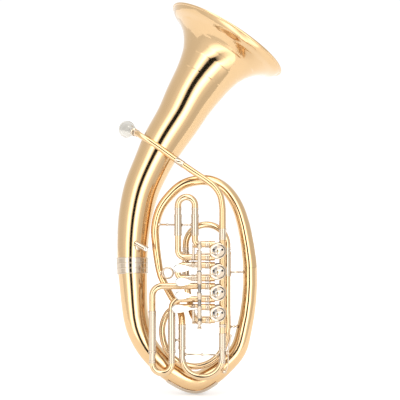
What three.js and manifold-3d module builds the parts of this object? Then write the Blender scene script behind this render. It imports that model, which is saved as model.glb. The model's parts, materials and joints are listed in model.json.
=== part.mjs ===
// Oval euphonium with four rotary valves, in gold brass and nickel silver.
// Millimetres, +Z up. The player's side is +Y, the lever side is -Y, and the bell leans toward +X.
// The origin is the lowest point of the guard under the bottom bow.

import * as THREE from 'three';
import Module from 'manifold-3d';
import { mergeVertices } from 'three/addons/utils/BufferGeometryUtils.js';

const wasm = await Module();
wasm.setup();

// Driving dimensions
const WALL = 0.7;
const GAP = 0.3;
const TUBE_RADIUS = 7.2;
const SLEEVE_RADIUS = 8.2;
const SLEEVE_BORE = 7.6;
const FERRULE_RISE = 0.7;
const SLIDE_SIDES = 10;

const BELL_RADIUS = 145;
const BELL_SIDES = 20;
const BELL_MOUTH = new THREE.Vector3(78, 66, 801);
const BELL_AXIS = new THREE.Vector3(0.526, 0.122, 0.842).normalize();

const VALVE_X = 54.6;
const VALVE_PITCH = 46;
const VALVE_HEIGHTS = [0, 1, 2, 3].map((index) => 320.9 - index * VALVE_PITCH);
const VALVE_DEPTH = -48;
const CASING_RADIUS = 17.8;
const CASING_FRONT = -64;
const CASING_BACK = -31.2;
const CASING_BORE = 15.6;
const PORT_RISE = 14.3;
const PORT_END_X = 34;
const LINE_OFFSET = 10.1;
const LINE_X = VALVE_X + LINE_OFFSET;
const RING_DEPTH = -19;

const CRANK_RADIUS = 6;
const PIN_OFFSET = CRANK_RADIUS * Math.SQRT1_2;
const LINK_DEPTH = -69;
const LINK_END_X = 9.9;
const AXLE_X = 14.1;
const AXLE_DEPTH = -89;
const AXLE_RADIUS = 2.6;
const HINGE_RADIUS = 5.2;
const LEVER_PITCH = 29.2;
const LEVER_HEIGHTS = [0, 1, 2, 3].map((index) => 284.3 - index * LEVER_PITCH);
const LEVER_TIPS = [-42.7, -38.8, -39.2, -46.4];
const HINGE_SPANS = [[280, 322.5], [250, 276.5], [217, 230.5], [176, 202]];

const GOLD_BRASS = { color: 0xd9a45f, roughness: 0.18, metalness: 1 };
const NICKEL_SILVER = { color: 0xcfc4b4, roughness: 0.2, metalness: 1 };
const SILVER_PLATE = { color: 0xe6e2da, roughness: 0.15, metalness: 1 };

const instrument = new THREE.Group();

function add(name, geometry, finish) {
  const mesh = new THREE.Mesh(geometry, new THREE.MeshStandardMaterial(finish));
  mesh.name = name;
  instrument.add(mesh);
}

function vector([x, y, z]) {
  return new THREE.Vector3(x, y, z);
}

// A closed mesh with shared vertices and its faces pointing out.
function closed(geometry) {
  geometry.deleteAttribute('normal');
  geometry.deleteAttribute('uv');
  const merged = mergeVertices(geometry, 1e-4);
  const corners = merged.index.array;
  const place = merged.attributes.position;
  const [a, b, c] = [new THREE.Vector3(), new THREE.Vector3(), new THREE.Vector3()];
  const kept = [];
  let volume = 0;
  for (let i = 0; i < corners.length; i += 3) {
    const [p, q, r] = [corners[i], corners[i + 1], corners[i + 2]];
    if (p === q || q === r || r === p) continue;
    kept.push(p, q, r);
    a.fromBufferAttribute(place, p);
    b.fromBufferAttribute(place, q);
    c.fromBufferAttribute(place, r);
    volume += a.dot(b.cross(c));
  }
  if (volume < 0) kept.reverse();
  merged.setIndex(kept);
  return merged;
}

function solid(geometry) {
  const shape = closed(geometry);
  return new wasm.Manifold(new wasm.Mesh({
    numProp: 3,
    vertProperties: new Float32Array(shape.attributes.position.array),
    triVerts: new Uint32Array(shape.index.array),
  }));
}

function shapeOf(manifold) {
  const mesh = manifold.getMesh();
  const geometry = new THREE.BufferGeometry();
  geometry.setAttribute('position', new THREE.BufferAttribute(new Float32Array(mesh.vertProperties), 3));
  geometry.setIndex([...mesh.triVerts]);
  return geometry;
}

function joined(...geometries) {
  return geometries.map(solid).reduce((whole, next) => whole.add(next));
}

// The turn that takes a shape standing on +Y to one along an axis.
function turnUpTo(axis) {
  return new THREE.Quaternion().setFromUnitVectors(new THREE.Vector3(0, 1, 0), axis.clone().normalize());
}

// A round bar from one point to another.
function bar(from, to, radius, sides = 10, endRadius = radius) {
  const [start, end] = [vector(from), vector(to)];
  const axis = end.clone().sub(start);
  const geometry = new THREE.CylinderGeometry(endRadius, radius, axis.length(), sides);
  geometry.applyQuaternion(turnUpTo(axis));
  const middle = start.add(end).multiplyScalar(0.5);
  return geometry.translate(middle.x, middle.y, middle.z);
}

function block(low, high) {
  const size = vector(high).sub(vector(low));
  const middle = vector(high).add(vector(low)).multiplyScalar(0.5);
  return new THREE.BoxGeometry(size.x, size.y, size.z).translate(middle.x, middle.y, middle.z);
}

// Paths

class ArcCurve extends THREE.Curve {
  constructor(centre, spoke, normal, angle) {
    super();
    Object.assign(this, { centre, spoke, normal, angle });
    this.steps = Math.ceil(angle / 0.56);
  }

  getPoint(t, target = new THREE.Vector3()) {
    return target.copy(this.spoke).applyAxisAngle(this.normal, this.angle * t).add(this.centre);
  }
}

function line(from, to) {
  return Object.assign(new THREE.LineCurve3(from, to), { steps: 1 });
}

// A run of straight tube whose inner corners, given as [x, y, z, bend radius], are rounded.
function pipeRun(corners, tail) {
  const path = new THREE.CurvePath();
  let from = vector(corners[0]);
  for (let i = 1; i < corners.length - 1; i++) {
    const corner = vector(corners[i]);
    const radius = corners[i][3];
    const along = corner.clone().sub(vector(corners[i - 1])).normalize();
    const away = vector(corners[i + 1]).sub(corner).normalize();
    const angle = along.angleTo(away);
    const start = corner.clone().addScaledVector(along, -radius * Math.tan(angle / 2));
    const inward = away.clone().addScaledVector(along, -away.dot(along)).normalize();
    if (start.distanceTo(from) > 0.01) path.add(line(from, start));
    const centre = start.clone().addScaledVector(inward, radius);
    const arc = new ArcCurve(centre, inward.multiplyScalar(-radius), along.cross(away).normalize(), angle);
    path.add(arc);
    from = arc.getPoint(1);
  }
  const end = vector(corners[corners.length - 1]);
  if (end.distanceTo(from) > 0.01) path.add(line(from, end));
  if (tail) path.add(tail);
  return path;
}

function smoothCurve(points, steps) {
  const curve = new THREE.CatmullRomCurve3(points, false, 'centripetal');
  curve.arcLengthDivisions = (points.length - 1) * 16;
  return Object.assign(curve, { steps });
}

function stationsOf(path) {
  const stations = [0];
  let reached = 0;
  for (const curve of path.curves) {
    const length = curve.getLength();
    for (let k = 1; k <= curve.steps; k++) stations.push(reached + length * k / curve.steps);
    reached += length;
  }
  return stations;
}

function interpolate(profile, distance) {
  const last = profile.length - 1;
  if (distance <= profile[0][0]) return profile[0][1];
  if (distance >= profile[last][0]) return profile[last][1];
  const k = profile.findIndex(([at]) => at >= distance);
  const [[d0, r0], [d1, r1]] = [profile[k - 1], profile[k]];
  return r0 + (r1 - r0) * (distance - d0) / (d1 - d0);
}

// Fills a [distance, radius] profile with a ring at each bend station between its ends.
function withStations(profile, stations) {
  const first = profile[0][0];
  const last = profile[profile.length - 1][0];
  const extra = stations
    .filter((at) => at > first && at < last && profile.every(([d]) => Math.abs(d - at) > 1.5))
    .map((at) => [at, interpolate(profile, at)]);
  return [...profile, ...extra].sort((p, q) => p[0] - q[0]);
}

// A tube along a path, turned from the closed outline that its outer and inner profiles make.
function tube(path, outer, inner, sides, stations = stationsOf(path)) {
  const outside = withStations(outer, stations);
  const inside = withStations(inner, stations).reverse();
  const outline = [...outside, ...inside, outside[0]];
  const length = path.getLength();
  const frames = new Map();
  let normal = new THREE.Vector3(0, 1, 0);
  const distances = [...new Set(outline.map(([at]) => at))].sort((p, q) => p - q);
  for (const at of distances) {
    const t = Math.min(at / length, 1 - 1e-9);
    const tangent = path.getTangent(t);
    normal = normal.projectOnPlane(tangent).normalize();
    const side = tangent.clone().cross(normal);
    frames.set(at, { centre: path.getPoint(t), normal: normal.clone(), side });
  }
  const lathe = new THREE.LatheGeometry(outline.map(([at, radius]) => new THREE.Vector2(radius, at)), sides);
  const place = lathe.attributes.position;
  for (let i = 0; i < place.count; i++) {
    const { centre, normal: up, side } = frames.get(outline[i % outline.length][0]);
    const [across, over] = [place.getX(i), place.getZ(i)];
    const spot = centre.clone().addScaledVector(up, over).addScaledVector(side, across);
    place.setXYZ(i, spot.x, spot.y, spot.z);
  }
  return closed(lathe);
}

// Main bore: bell, bottom bow and upper branch

// Distance behind the mouth and outer radius, for the straight flare of the bell.
const FLARE = [
  [0, BELL_RADIUS - 1.6], [3, BELL_RADIUS], [14, 134], [22, 117], [40, 95],
  [58, 82], [76, 73], [112, 64], [163, 57],
];

// Centre and outer radius along the rest of the bore.
const BELL_TUBE = [
  [-33.6, 43, 617, 51.5],
  [-71.5, 38, 556, 47],
  [-92, 34, 515, 43],
  [-116.8, 28, 455.9, 40.5],
  [-130, 21, 396.9, 38],
  [-135.3, 15, 343, 35.5],
];
const GARLAND = [-136.2, 9, 284.9, 33.5];
const BOTTOM_BOW = [
  [-132.1, 3, 209.3, 30],
  [-124.5, 0, 152, 27.5],
  [-103, 0, 105, 25.5],
  [-74, 0, 71, 24.5],
  [-36, 0, 41, 24.2],
  [6.3, 0, 26, 24.2],
  [42.9, 0, 42.3, 22.5],
  [71.8, 0, 65.7, 21],
  [99.9, 0, 97.5, 19],
  [113.6, 0, 142.2, 17.5],
  [125, 0, 209.3, 16.4],
];
const BRANCH_JOINT = [126.8, 0, 282, 15.8];
const UPPER_BRANCH = [
  [121.9, 0, 327, 15.1],
  [106.2, 0, 399.4, 13.6],
  [89, 0, 436.3, 12.8],
  [65, 0, 463, 12.1],
  [34, 0, 476.5, 11.8],
  [0, 0, 475, 11.4],
  [-25, 0, 466, 11],
  [-50, 0, 445, 10.5],
  [-73.1, 0, 413.9, 10],
  [-84.7, 0, 371.9, 9.5],
  [-84.3, 0, 343.5, 9.1],
  [-79.8, 0, 303.2, 8.8],
  [-72, 0, 263.6, 8.4],
  [-60, -1, 238, 8.1],
  [-47.4, -5, 214.9, 7.9],
  [-33.5, -13, 195, 7.8],
  [-26.5, -26, 178, 7.8],
  [-24.4, -36, 161, 7.8],
];
const TUNING_LEFT = [-24.4, -36];
const BRANCH_END = [...TUNING_LEFT, 155, 7.8];

const boreCentres = [
  ...FLARE.map(([behind]) => BELL_MOUTH.clone().addScaledVector(BELL_AXIS, -behind)),
  ...[...BELL_TUBE, GARLAND, ...BOTTOM_BOW, BRANCH_JOINT, ...UPPER_BRANCH, BRANCH_END].map(vector),
];
const boreRadii = [
  ...FLARE.map(([, radius]) => radius),
  ...[...BELL_TUBE, GARLAND, ...BOTTOM_BOW, BRANCH_JOINT, ...UPPER_BRANCH, BRANCH_END].map((row) => row[3]),
];
const boreCurve = smoothCurve(boreCentres, 1);
const bore = new THREE.CurvePath();
bore.add(boreCurve);
const boreMarks = boreCurve.getLengths();
const boreStations = boreCentres.map((_, index) => boreMarks[index * 16]);
const GARLAND_INDEX = FLARE.length + BELL_TUBE.length;
const JOINT_INDEX = GARLAND_INDEX + BOTTOM_BOW.length + 1;
const garlandAt = boreStations[GARLAND_INDEX];
const jointAt = boreStations[JOINT_INDEX];
const GARLAND_HALF = 18;
const stationRadii = boreStations.map((at, index) => [at, boreRadii[index]]);
const boreProfile = withStations(stationRadii, [garlandAt - GARLAND_HALF, garlandAt + GARLAND_HALF]);
const boreEnd = boreStations[boreStations.length - 1];

function boreStretch(from, to, rise) {
  const ends = [[from, interpolate(boreProfile, from) + rise], [to, interpolate(boreProfile, to) + rise]];
  const middle = boreProfile.filter(([at]) => at > from + 2 && at < to - 2).map(([at, r]) => [at, r + rise]);
  return [ends[0], ...middle, ends[1]];
}

function boreTube(from, to, sides) {
  return tube(bore, boreStretch(from, to, 0), boreStretch(from, to, -WALL), sides, []);
}

// The bell's rim is rolled to a thicker bead with a flat land.
function bell() {
  const end = garlandAt - GAP / 2;
  const outer = boreStretch(0, end, 0);
  const inner = boreStretch(0, end, -WALL);
  inner[0][1] = BELL_RADIUS - 4.4;
  inner[1][1] = BELL_RADIUS - 3.6;
  return tube(bore, outer, inner, BELL_SIDES, []);
}
add('bell', bell(), GOLD_BRASS);
add('bottom_bow', boreTube(garlandAt + GAP / 2, jointAt - GAP / 2, 14), GOLD_BRASS);

// The upper branch starts with a raised ferrule over its joint with the bow.
function upperBranch() {
  const start = jointAt + GAP / 2;
  const [ferrule, rise] = [14, 1.3];
  const outer = boreStretch(start + ferrule + 0.6, boreEnd, 0);
  const lip = boreStretch(start, start + ferrule, rise);
  return tube(bore, [...lip, ...outer], boreStretch(start, boreEnd, -WALL), SLIDE_SIDES, []);
}
add('upper_branch', upperBranch(), GOLD_BRASS);

// A sleeve around the bore, with raised bands given as [from, to] distances.
function boreSleeve(name, from, to, bands, sides) {
  const [rise, bandRise, ramp] = [1.8, 2.9, 0.6];
  const outer = [[from, interpolate(boreProfile, from) + rise]];
  for (const [start, end] of bands) {
    const steps = [[start, rise], [start + ramp, bandRise], [end - ramp, bandRise], [end, rise]];
    outer.push(...steps.map(([at, lift]) => [at, interpolate(boreProfile, at) + lift]));
  }
  outer.push([to, interpolate(boreProfile, to) + rise]);
  const inner = boreStretch(from, to, GAP + 0.6);
  add(name, tube(bore, outer, inner, sides, []), NICKEL_SILVER);
}

const garlandBands = [-15, -3, 9].map((start) => [garlandAt + start, garlandAt + start + 6]);
boreSleeve('bell_garland', garlandAt - GARLAND_HALF, garlandAt + GARLAND_HALF, garlandBands, 16);

// The guard follows the underside of the bottom bow.
function bottomGuard() {
  const [inner, outer, half, under] = [25.4, 26.4, 0.75, Math.PI / 2];
  const section = new THREE.Shape();
  section.absarc(0, 0, outer, under - half, under + half, false);
  section.absarc(0, 0, inner, under + half, under - half, true);
  const underside = [[-46, 0, 47.5], [-20, 0, 32], [6.3, 0, 26], [28, 0, 33.5], [49, 0, 47]];
  const route = new THREE.CatmullRomCurve3(underside.map(vector));
  const geometry = new THREE.ExtrudeGeometry(section, { steps: 8, extrudePath: route, curveSegments: 4 });
  return closed(geometry);
}
add('bottom_guard', bottomGuard(), NICKEL_SILVER);

// Leadpipe, receiver and mouthpiece

const RECEIVER_FOOT = new THREE.Vector3(-124.7, 2, 581.7);
const RECEIVER_AXIS = new THREE.Vector3(-0.32, 0.934, 0.155).normalize();

function alongReceiver(distance) {
  return RECEIVER_FOOT.clone().addScaledVector(RECEIVER_AXIS, distance);
}

const leadpipeBends = [
  [-116.4, -9, 575.6], [-100, -16, 565.6], [-73.7, -20, 548.4], [-38, -24, 522.3], [11.2, -34, 488.2],
  [30.6, -40, 475.3], [48.7, -44, 460.5], [60.3, -47, 440.8], [LINE_X, VALVE_DEPTH, 412],
].map(vector);
const leadpipeCurve = smoothCurve([alongReceiver(0), alongReceiver(-5), ...leadpipeBends], 12);
const leadpipe = new THREE.CurvePath();
leadpipe.add(leadpipeCurve);
const casingTop = VALVE_HEIGHTS[0] + VALVE_PITCH / 2;
leadpipe.add(line(leadpipeBends.at(-1), new THREE.Vector3(LINE_X, VALVE_DEPTH, casingTop + GAP)));
const leadpipeLength = leadpipe.getLength();
const [leadpipeFirst, leadpipeLast] = [6.3, 7.4];
add('leadpipe', tube(
  leadpipe,
  [[0, leadpipeFirst], [leadpipeLength, leadpipeLast]],
  [[0, leadpipeFirst - WALL], [leadpipeLength, leadpipeLast - WALL]],
  8,
), GOLD_BRASS);

const RECEIVER_LENGTH = 30;
const receiver = new THREE.CurvePath();
receiver.add(line(alongReceiver(2 * GAP), alongReceiver(RECEIVER_LENGTH)));
const receiverEnd = RECEIVER_LENGTH - 2 * GAP;
add('mouthpiece_receiver', tube(
  receiver,
  [[0, 7.4], [receiverEnd - 5, 7.9], [receiverEnd - 4.4, 9], [receiverEnd, 9]],
  [[0, 5.6], [receiverEnd, 6.6]],
  12,
), NICKEL_SILVER);

const MOUTHPIECE_SHOWN = 60;
const SHANK_HIDDEN = 24;
const mouthpiece = new THREE.CurvePath();
mouthpiece.add(line(
  alongReceiver(RECEIVER_LENGTH - SHANK_HIDDEN),
  alongReceiver(RECEIVER_LENGTH + MOUTHPIECE_SHOWN),
));
const rimAt = SHANK_HIDDEN + MOUTHPIECE_SHOWN;
add('mouthpiece', tube(
  mouthpiece,
  [
    [0, 4.9], [rimAt - 42, 6.3], [rimAt - 36, 8.4], [rimAt - 26, 14.6],
    [rimAt - 14, 17.2], [rimAt - 3, 19.4], [rimAt, 18],
  ],
  [[0, 3.9], [rimAt - 34, 3.3], [rimAt - 27, 6.5], [rimAt - 12, 12], [rimAt - 2, 13], [rimAt, 14]],
  14,
), SILVER_PLATE);

// Rotary valves

// The height of a valve's link, where the crank pin sits at rest.
function linkHeight(valve) {
  return VALVE_HEIGHTS[valve] - PIN_OFFSET;
}

function valveCasing(height) {
  const port = (rise, radius) => bar(
    [VALVE_X - 3, VALVE_DEPTH, height + rise],
    [PORT_END_X, VALVE_DEPTH, height + rise],
    radius,
    8,
  );
  const knuckle = (way, radius) => bar(
    [LINE_X, VALVE_DEPTH, height + way * 6],
    [LINE_X, VALVE_DEPTH, height + way * (VALVE_PITCH / 2 - GAP / 2)],
    radius,
    8,
  );
  const across = (from, to, radius, sides = 16) => bar(
    [VALVE_X, from, height],
    [VALVE_X, to, height],
    radius,
    sides,
  );
  const outside = joined(
    across(CASING_FRONT, CASING_BACK, CASING_RADIUS),
    across(CASING_FRONT - 2.5, CASING_FRONT + 1, 16.3),
    port(PORT_RISE, TUBE_RADIUS),
    port(-PORT_RISE, TUBE_RADIUS),
    knuckle(1, TUBE_RADIUS),
    knuckle(-1, TUBE_RADIUS),
  );
  const bore = TUBE_RADIUS - WALL;
  const inside = joined(
    across(CASING_FRONT + 3, CASING_BACK + 1, CASING_BORE),
    across(CASING_FRONT - 3, CASING_FRONT + 0.4, 12.6),
    across(CASING_FRONT - 3, CASING_BACK, 3.7, 8),
    port(PORT_RISE, bore).translate(-0.1, 0, 0),
    port(-PORT_RISE, bore).translate(-0.1, 0, 0),
    knuckle(1, bore).translate(0, 0, 0.1),
    knuckle(-1, bore).translate(0, 0, -0.1),
  );
  return shapeOf(outside.subtract(inside));
}

function turned(outline, height, sides) {
  const points = outline.map(([radius, depth]) => new THREE.Vector2(radius, depth));
  return closed(new THREE.LatheGeometry(points, sides).translate(VALVE_X, 0, height));
}

const rotorOutline = [[0, CASING_BACK - GAP], [15.2, CASING_BACK - GAP], [15.2, CASING_FRONT + 3.4],
  [3.3, CASING_FRONT + 3.4], [3.3, -67.1], [0, -67.1]];
const capOutline = [[0, -28.8], [13, -28.8], [15, -29.6], [18.6, -29.6],
  [18.6, CASING_BACK + GAP], [0, CASING_BACK + GAP]];

function stopArm(valve) {
  const height = VALVE_HEIGHTS[valve];
  const [back, front] = [-64.2, -66.6];
  const [pinX, pinZ] = [VALVE_X - PIN_OFFSET, linkHeight(valve)];
  const hub = joined(
    bar([VALVE_X, back, height], [VALVE_X, front, height], 5.6, 12),
    bar([pinX, back, pinZ], [pinX, front, pinZ], 3.4, 10),
    bar([pinX, back, pinZ], [pinX, LINK_DEPTH - 2.4, pinZ], 1.5, 8),
    block([VALVE_X - 2, front, height - 2], [VALVE_X + 2, back, height + 11]).translate(-VALVE_X, 0, -height)
      .rotateY(Math.PI / 4).translate(VALVE_X, 0, height),
  );
  const spindleHole = bar([VALVE_X, back + 1, height], [VALVE_X, front - 1, height], 3.6, 10);
  return shapeOf(hub.subtract(solid(spindleHole)));
}

// The rod's near eye turns on the crank pin. Its far eye stands on edge around the lever's upright pin.
function linkRod(valve) {
  const height = linkHeight(valve);
  const pinX = VALVE_X - PIN_OFFSET;
  const rod = joined(
    bar([pinX, LINK_DEPTH - 1.6, height], [pinX, LINK_DEPTH + 1.6, height], 3.2, 10),
    bar([pinX - 1, LINK_DEPTH, height], [LINK_END_X + 1, LINK_DEPTH, height], 1.4, 8),
    bar([LINK_END_X, LINK_DEPTH, height - 1.5], [LINK_END_X, LINK_DEPTH, height + 1.5], 3.6, 10),
  );
  const eyes = joined(
    bar([pinX, LINK_DEPTH - 3, height], [pinX, LINK_DEPTH + 3, height], 1.9, 8),
    bar([LINK_END_X, LINK_DEPTH, height - 3], [LINK_END_X, LINK_DEPTH, height + 3], 2.3, 8),
  );
  return shapeOf(rod.subtract(eyes));
}

for (let valve = 0; valve < 4; valve++) {
  const number = valve + 1;
  const height = VALVE_HEIGHTS[valve];
  add(`valve_casing_${number}`, valveCasing(height), NICKEL_SILVER);
  add(`valve_rotor_${number}`, turned(rotorOutline, height, 16), NICKEL_SILVER);
  add(`valve_cap_${number}`, turned(capOutline, height, 16), NICKEL_SILVER);
  add(`stop_arm_${number}`, stopArm(valve), NICKEL_SILVER);
  add(`link_rod_${number}`, linkRod(valve), NICKEL_SILVER);
}

// Levers on their axle

// A spoon-shaped touch on a narrow bar, drawn from the axle toward the tip.
function touchPlate(tip) {
  const [barHalf, touchHalf, thickness] = [1.9, 9.2, 1.8];
  const neck = AXLE_X - 16;
  const shoulder = tip + 22;
  const outline = new THREE.Shape();
  outline.moveTo(AXLE_X - 3.4, -barHalf);
  outline.lineTo(neck, -barHalf);
  outline.bezierCurveTo(neck - 6, -barHalf, shoulder, -touchHalf, tip + touchHalf, -touchHalf);
  outline.absarc(tip + touchHalf, 0, touchHalf, -Math.PI / 2, Math.PI / 2, true);
  outline.bezierCurveTo(shoulder, touchHalf, neck - 6, barHalf, neck, barHalf);
  outline.lineTo(AXLE_X - 3.4, barHalf);
  outline.closePath();
  const settings = { depth: thickness, bevelEnabled: false, curveSegments: 5 };
  const plate = new THREE.ExtrudeGeometry(outline, settings);
  return plate.rotateX(Math.PI / 2).translate(0, AXLE_DEPTH - 1.6, 0);
}

function lever(index) {
  const [low, high] = HINGE_SPANS[index];
  const link = linkHeight(index);
  const crank = [link + 3.6, link + 6];
  const hinge = bar([AXLE_X, AXLE_DEPTH, low], [AXLE_X, AXLE_DEPTH, high], HINGE_RADIUS, 12);
  const plate = touchPlate(LEVER_TIPS[index]).translate(0, 0, LEVER_HEIGHTS[index]);
  const arm = block([-2.2, 3, crank[0]], [2.2, 21, crank[1]]);
  arm.rotateZ(Math.atan2(AXLE_X - LINK_END_X, LINK_DEPTH - AXLE_DEPTH)).translate(AXLE_X, AXLE_DEPTH, 0);
  const pin = bar([LINK_END_X, LINK_DEPTH, link - 4.5], [LINK_END_X, LINK_DEPTH, crank[1]], 1.4, 8);
  const hole = bar([AXLE_X, AXLE_DEPTH, low - 1], [AXLE_X, AXLE_DEPTH, high + 1], AXLE_RADIUS + 0.4, 12);
  return shapeOf(joined(hinge, plate, arm, pin).subtract(solid(hole)));
}

for (let index = 0; index < 4; index++) {
  add(`lever_${index + 1}`, lever(index), SILVER_PLATE);
}

const AXLE_SPAN = [152, 344];
add('lever_axle', shapeOf(joined(
  bar([AXLE_X, AXLE_DEPTH, AXLE_SPAN[0]], [AXLE_X, AXLE_DEPTH, AXLE_SPAN[1]], AXLE_RADIUS, 12),
  bar([AXLE_X, AXLE_DEPTH, AXLE_SPAN[0]], [AXLE_X, AXLE_DEPTH, AXLE_SPAN[0] + 7], 5, 12),
  bar([AXLE_X, AXLE_DEPTH, AXLE_SPAN[1] - 7], [AXLE_X, AXLE_DEPTH, AXLE_SPAN[1]], 5, 12),
)), NICKEL_SILVER);

// A bracket holds the axle in an eye, and an upright stub carries it on the tube behind.
function axleBracket(eyeHeight, stubSpan, footHeight, footDepth) {
  const stubX = 0.8;
  const stubDepth = -72;
  const body = joined(
    bar([AXLE_X, AXLE_DEPTH, eyeHeight - 3.5], [AXLE_X, AXLE_DEPTH, eyeHeight + 3.5], 5.2, 12),
    bar([AXLE_X - 4, AXLE_DEPTH + 1, eyeHeight], [stubX, stubDepth, eyeHeight], 2.6, 8),
    bar([stubX, stubDepth, stubSpan[0]], [stubX, stubDepth, stubSpan[1]], 3, 8),
    bar([stubX, stubDepth, footHeight], [stubX, footDepth, footHeight], 2.8, 8, 5),
  );
  return shapeOf(body.subtract(solid(
    bar([AXLE_X, AXLE_DEPTH, eyeHeight - 5], [AXLE_X, AXLE_DEPTH, eyeHeight + 5], AXLE_RADIUS + 0.3, 12),
  )));
}
const tubeFront = VALVE_DEPTH - TUBE_RADIUS - 2 * GAP;
add('axle_bracket_upper', axleBracket(331, [305, 335], 306.6, tubeFront), NICKEL_SILVER);
add('axle_bracket_lower', axleBracket(166, [164, 200], 197.2, tubeFront), NICKEL_SILVER);

// Slides

// A fixed slide tube: its path starts at the sleeve's open end, and the sleeve runs back to a narrower crook.
function slideTube(name, path, sleeveLength) {
  const length = path.getLength();
  const bore = TUBE_RADIUS - WALL;
  const lip = SLEEVE_RADIUS + FERRULE_RISE;
  add(name, tube(
    path,
    [
      [0, lip], [6, lip], [6.6, SLEEVE_RADIUS], [sleeveLength, SLEEVE_RADIUS],
      [sleeveLength + 0.8, TUBE_RADIUS], [length, TUBE_RADIUS],
    ],
    [[0, SLEEVE_BORE], [sleeveLength - 1.5, SLEEVE_BORE], [sleeveLength - 0.5, bore], [length, bore]],
    SLIDE_SIDES,
  ), NICKEL_SILVER);
}

// The pull-out bow: two legs and the half circle between them.
function slideBow(name, firstEnd, firstCorner, lastCorner, lastEnd) {
  const radius = vector(firstCorner).distanceTo(vector(lastCorner)) / 2;
  const path = pipeRun([firstEnd, [...firstCorner, radius], [...lastCorner, radius], lastEnd]);
  const length = path.getLength();
  const bore = TUBE_RADIUS - WALL;
  const outer = [[0, TUBE_RADIUS], [length, TUBE_RADIUS]];
  add(name, tube(path, outer, [[0, bore], [length, bore]], SLIDE_SIDES), GOLD_BRASS);
}

const portX = PORT_END_X - GAP;
const portHeights = VALVE_HEIGHTS.map((height) => [height + PORT_RISE, height - PORT_RISE]);

const SLIDE_1 = { left: -33.2, right: 4.2, sleeveTop: 401, sleeveFoot: 355, legEnd: 361, arcHeight: 420.4 };
slideTube('slide_1_tube_right', pipeRun([
  [SLIDE_1.right, VALVE_DEPTH, SLIDE_1.sleeveTop],
  [SLIDE_1.right, VALVE_DEPTH, portHeights[0][0], 10],
  [portX, VALVE_DEPTH, portHeights[0][0]],
]), SLIDE_1.sleeveTop - SLIDE_1.sleeveFoot);
slideTube('slide_1_tube_left', pipeRun([
  [SLIDE_1.left, VALVE_DEPTH, SLIDE_1.sleeveTop],
  [SLIDE_1.left, VALVE_DEPTH, portHeights[0][1], 16],
  [portX, VALVE_DEPTH, portHeights[0][1]],
]), SLIDE_1.sleeveTop - SLIDE_1.sleeveFoot);
const slide1Top = SLIDE_1.arcHeight + (SLIDE_1.right - SLIDE_1.left) / 2;
slideBow(
  'slide_1_bow',
  [SLIDE_1.left, VALVE_DEPTH, SLIDE_1.legEnd],
  [SLIDE_1.left, VALVE_DEPTH, slide1Top],
  [SLIDE_1.right, VALVE_DEPTH, slide1Top],
  [SLIDE_1.right, VALVE_DEPTH, SLIDE_1.legEnd],
);

const SLIDE_2 = { sleeveEnd: -4, sleeveFoot: 18, legEnd: 14.5, arcX: -20 };
portHeights[1].forEach((height, side) => slideTube(`slide_2_tube_${side ? 'lower' : 'upper'}`, pipeRun([
  [SLIDE_2.sleeveEnd, VALVE_DEPTH, height],
  [portX, VALVE_DEPTH, height],
]), SLIDE_2.sleeveFoot - SLIDE_2.sleeveEnd));
const slide2Left = SLIDE_2.arcX - PORT_RISE;
slideBow(
  'slide_2_bow',
  [SLIDE_2.legEnd, VALVE_DEPTH, portHeights[1][0]],
  [slide2Left, VALVE_DEPTH, portHeights[1][0]],
  [slide2Left, VALVE_DEPTH, portHeights[1][1]],
  [SLIDE_2.legEnd, VALVE_DEPTH, portHeights[1][1]],
);

const SLIDE_3 = { left: -89.6, right: -46.9, sleeveEnd: 96, sleeveFoot: 188, legEnd: 160, arcHeight: 73.2 };
slideTube('slide_3_tube_left', pipeRun([
  [SLIDE_3.left, VALVE_DEPTH, SLIDE_3.sleeveEnd],
  [SLIDE_3.left, VALVE_DEPTH, portHeights[2][0], 21],
  [portX, VALVE_DEPTH, portHeights[2][0]],
]), SLIDE_3.sleeveFoot - SLIDE_3.sleeveEnd);
slideTube('slide_3_tube_right', pipeRun([
  [SLIDE_3.right, VALVE_DEPTH, SLIDE_3.sleeveEnd],
  [SLIDE_3.right, VALVE_DEPTH, portHeights[2][1], 20],
  [portX, VALVE_DEPTH, portHeights[2][1]],
]), SLIDE_3.sleeveFoot - SLIDE_3.sleeveEnd);
const slide3Bottom = SLIDE_3.arcHeight - (SLIDE_3.right - SLIDE_3.left) / 2;
slideBow(
  'slide_3_bow',
  [SLIDE_3.left, VALVE_DEPTH, SLIDE_3.legEnd],
  [SLIDE_3.left, VALVE_DEPTH, slide3Bottom],
  [SLIDE_3.right, VALVE_DEPTH, slide3Bottom],
  [SLIDE_3.right, VALVE_DEPTH, SLIDE_3.legEnd],
);

// Fourth slide: a wide loop behind the valves, pulled out upward.
const SLIDE_4 = { left: -16.4, right: 75.7, sleeveTop: 318, sleeveFoot: 264, legEnd: 278, arcHeight: 332 };
const ringCentre = { x: 3.4, z: 140, halfWidth: SLIDE_4.right - 3.4, halfHeight: 77 };
const ringPoint = (degrees) => {
  const angle = THREE.MathUtils.degToRad(degrees);
  return [
    ringCentre.x + ringCentre.halfWidth * Math.cos(angle),
    RING_DEPTH,
    ringCentre.z - ringCentre.halfHeight * Math.sin(angle),
  ];
};
const ringSweep = smoothCurve([
  [SLIDE_4.right, RING_DEPTH, 190],
  ...[0, 30, 60, 90, 120, 150, 180].map(ringPoint),
  [-64, RING_DEPTH, 168],
  [-52, -22, 187],
  [-38, -31, 194.5],
  [-20, -42, 197],
  [-4, VALVE_DEPTH, portHeights[3][0]],
  [portX, VALVE_DEPTH, portHeights[3][0]],
].map(vector), 16);
slideTube('slide_4_tube_right', pipeRun([
  [SLIDE_4.right, RING_DEPTH, SLIDE_4.sleeveTop],
  [SLIDE_4.right, RING_DEPTH, 190],
], ringSweep), SLIDE_4.sleeveTop - SLIDE_4.sleeveFoot);
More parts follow.
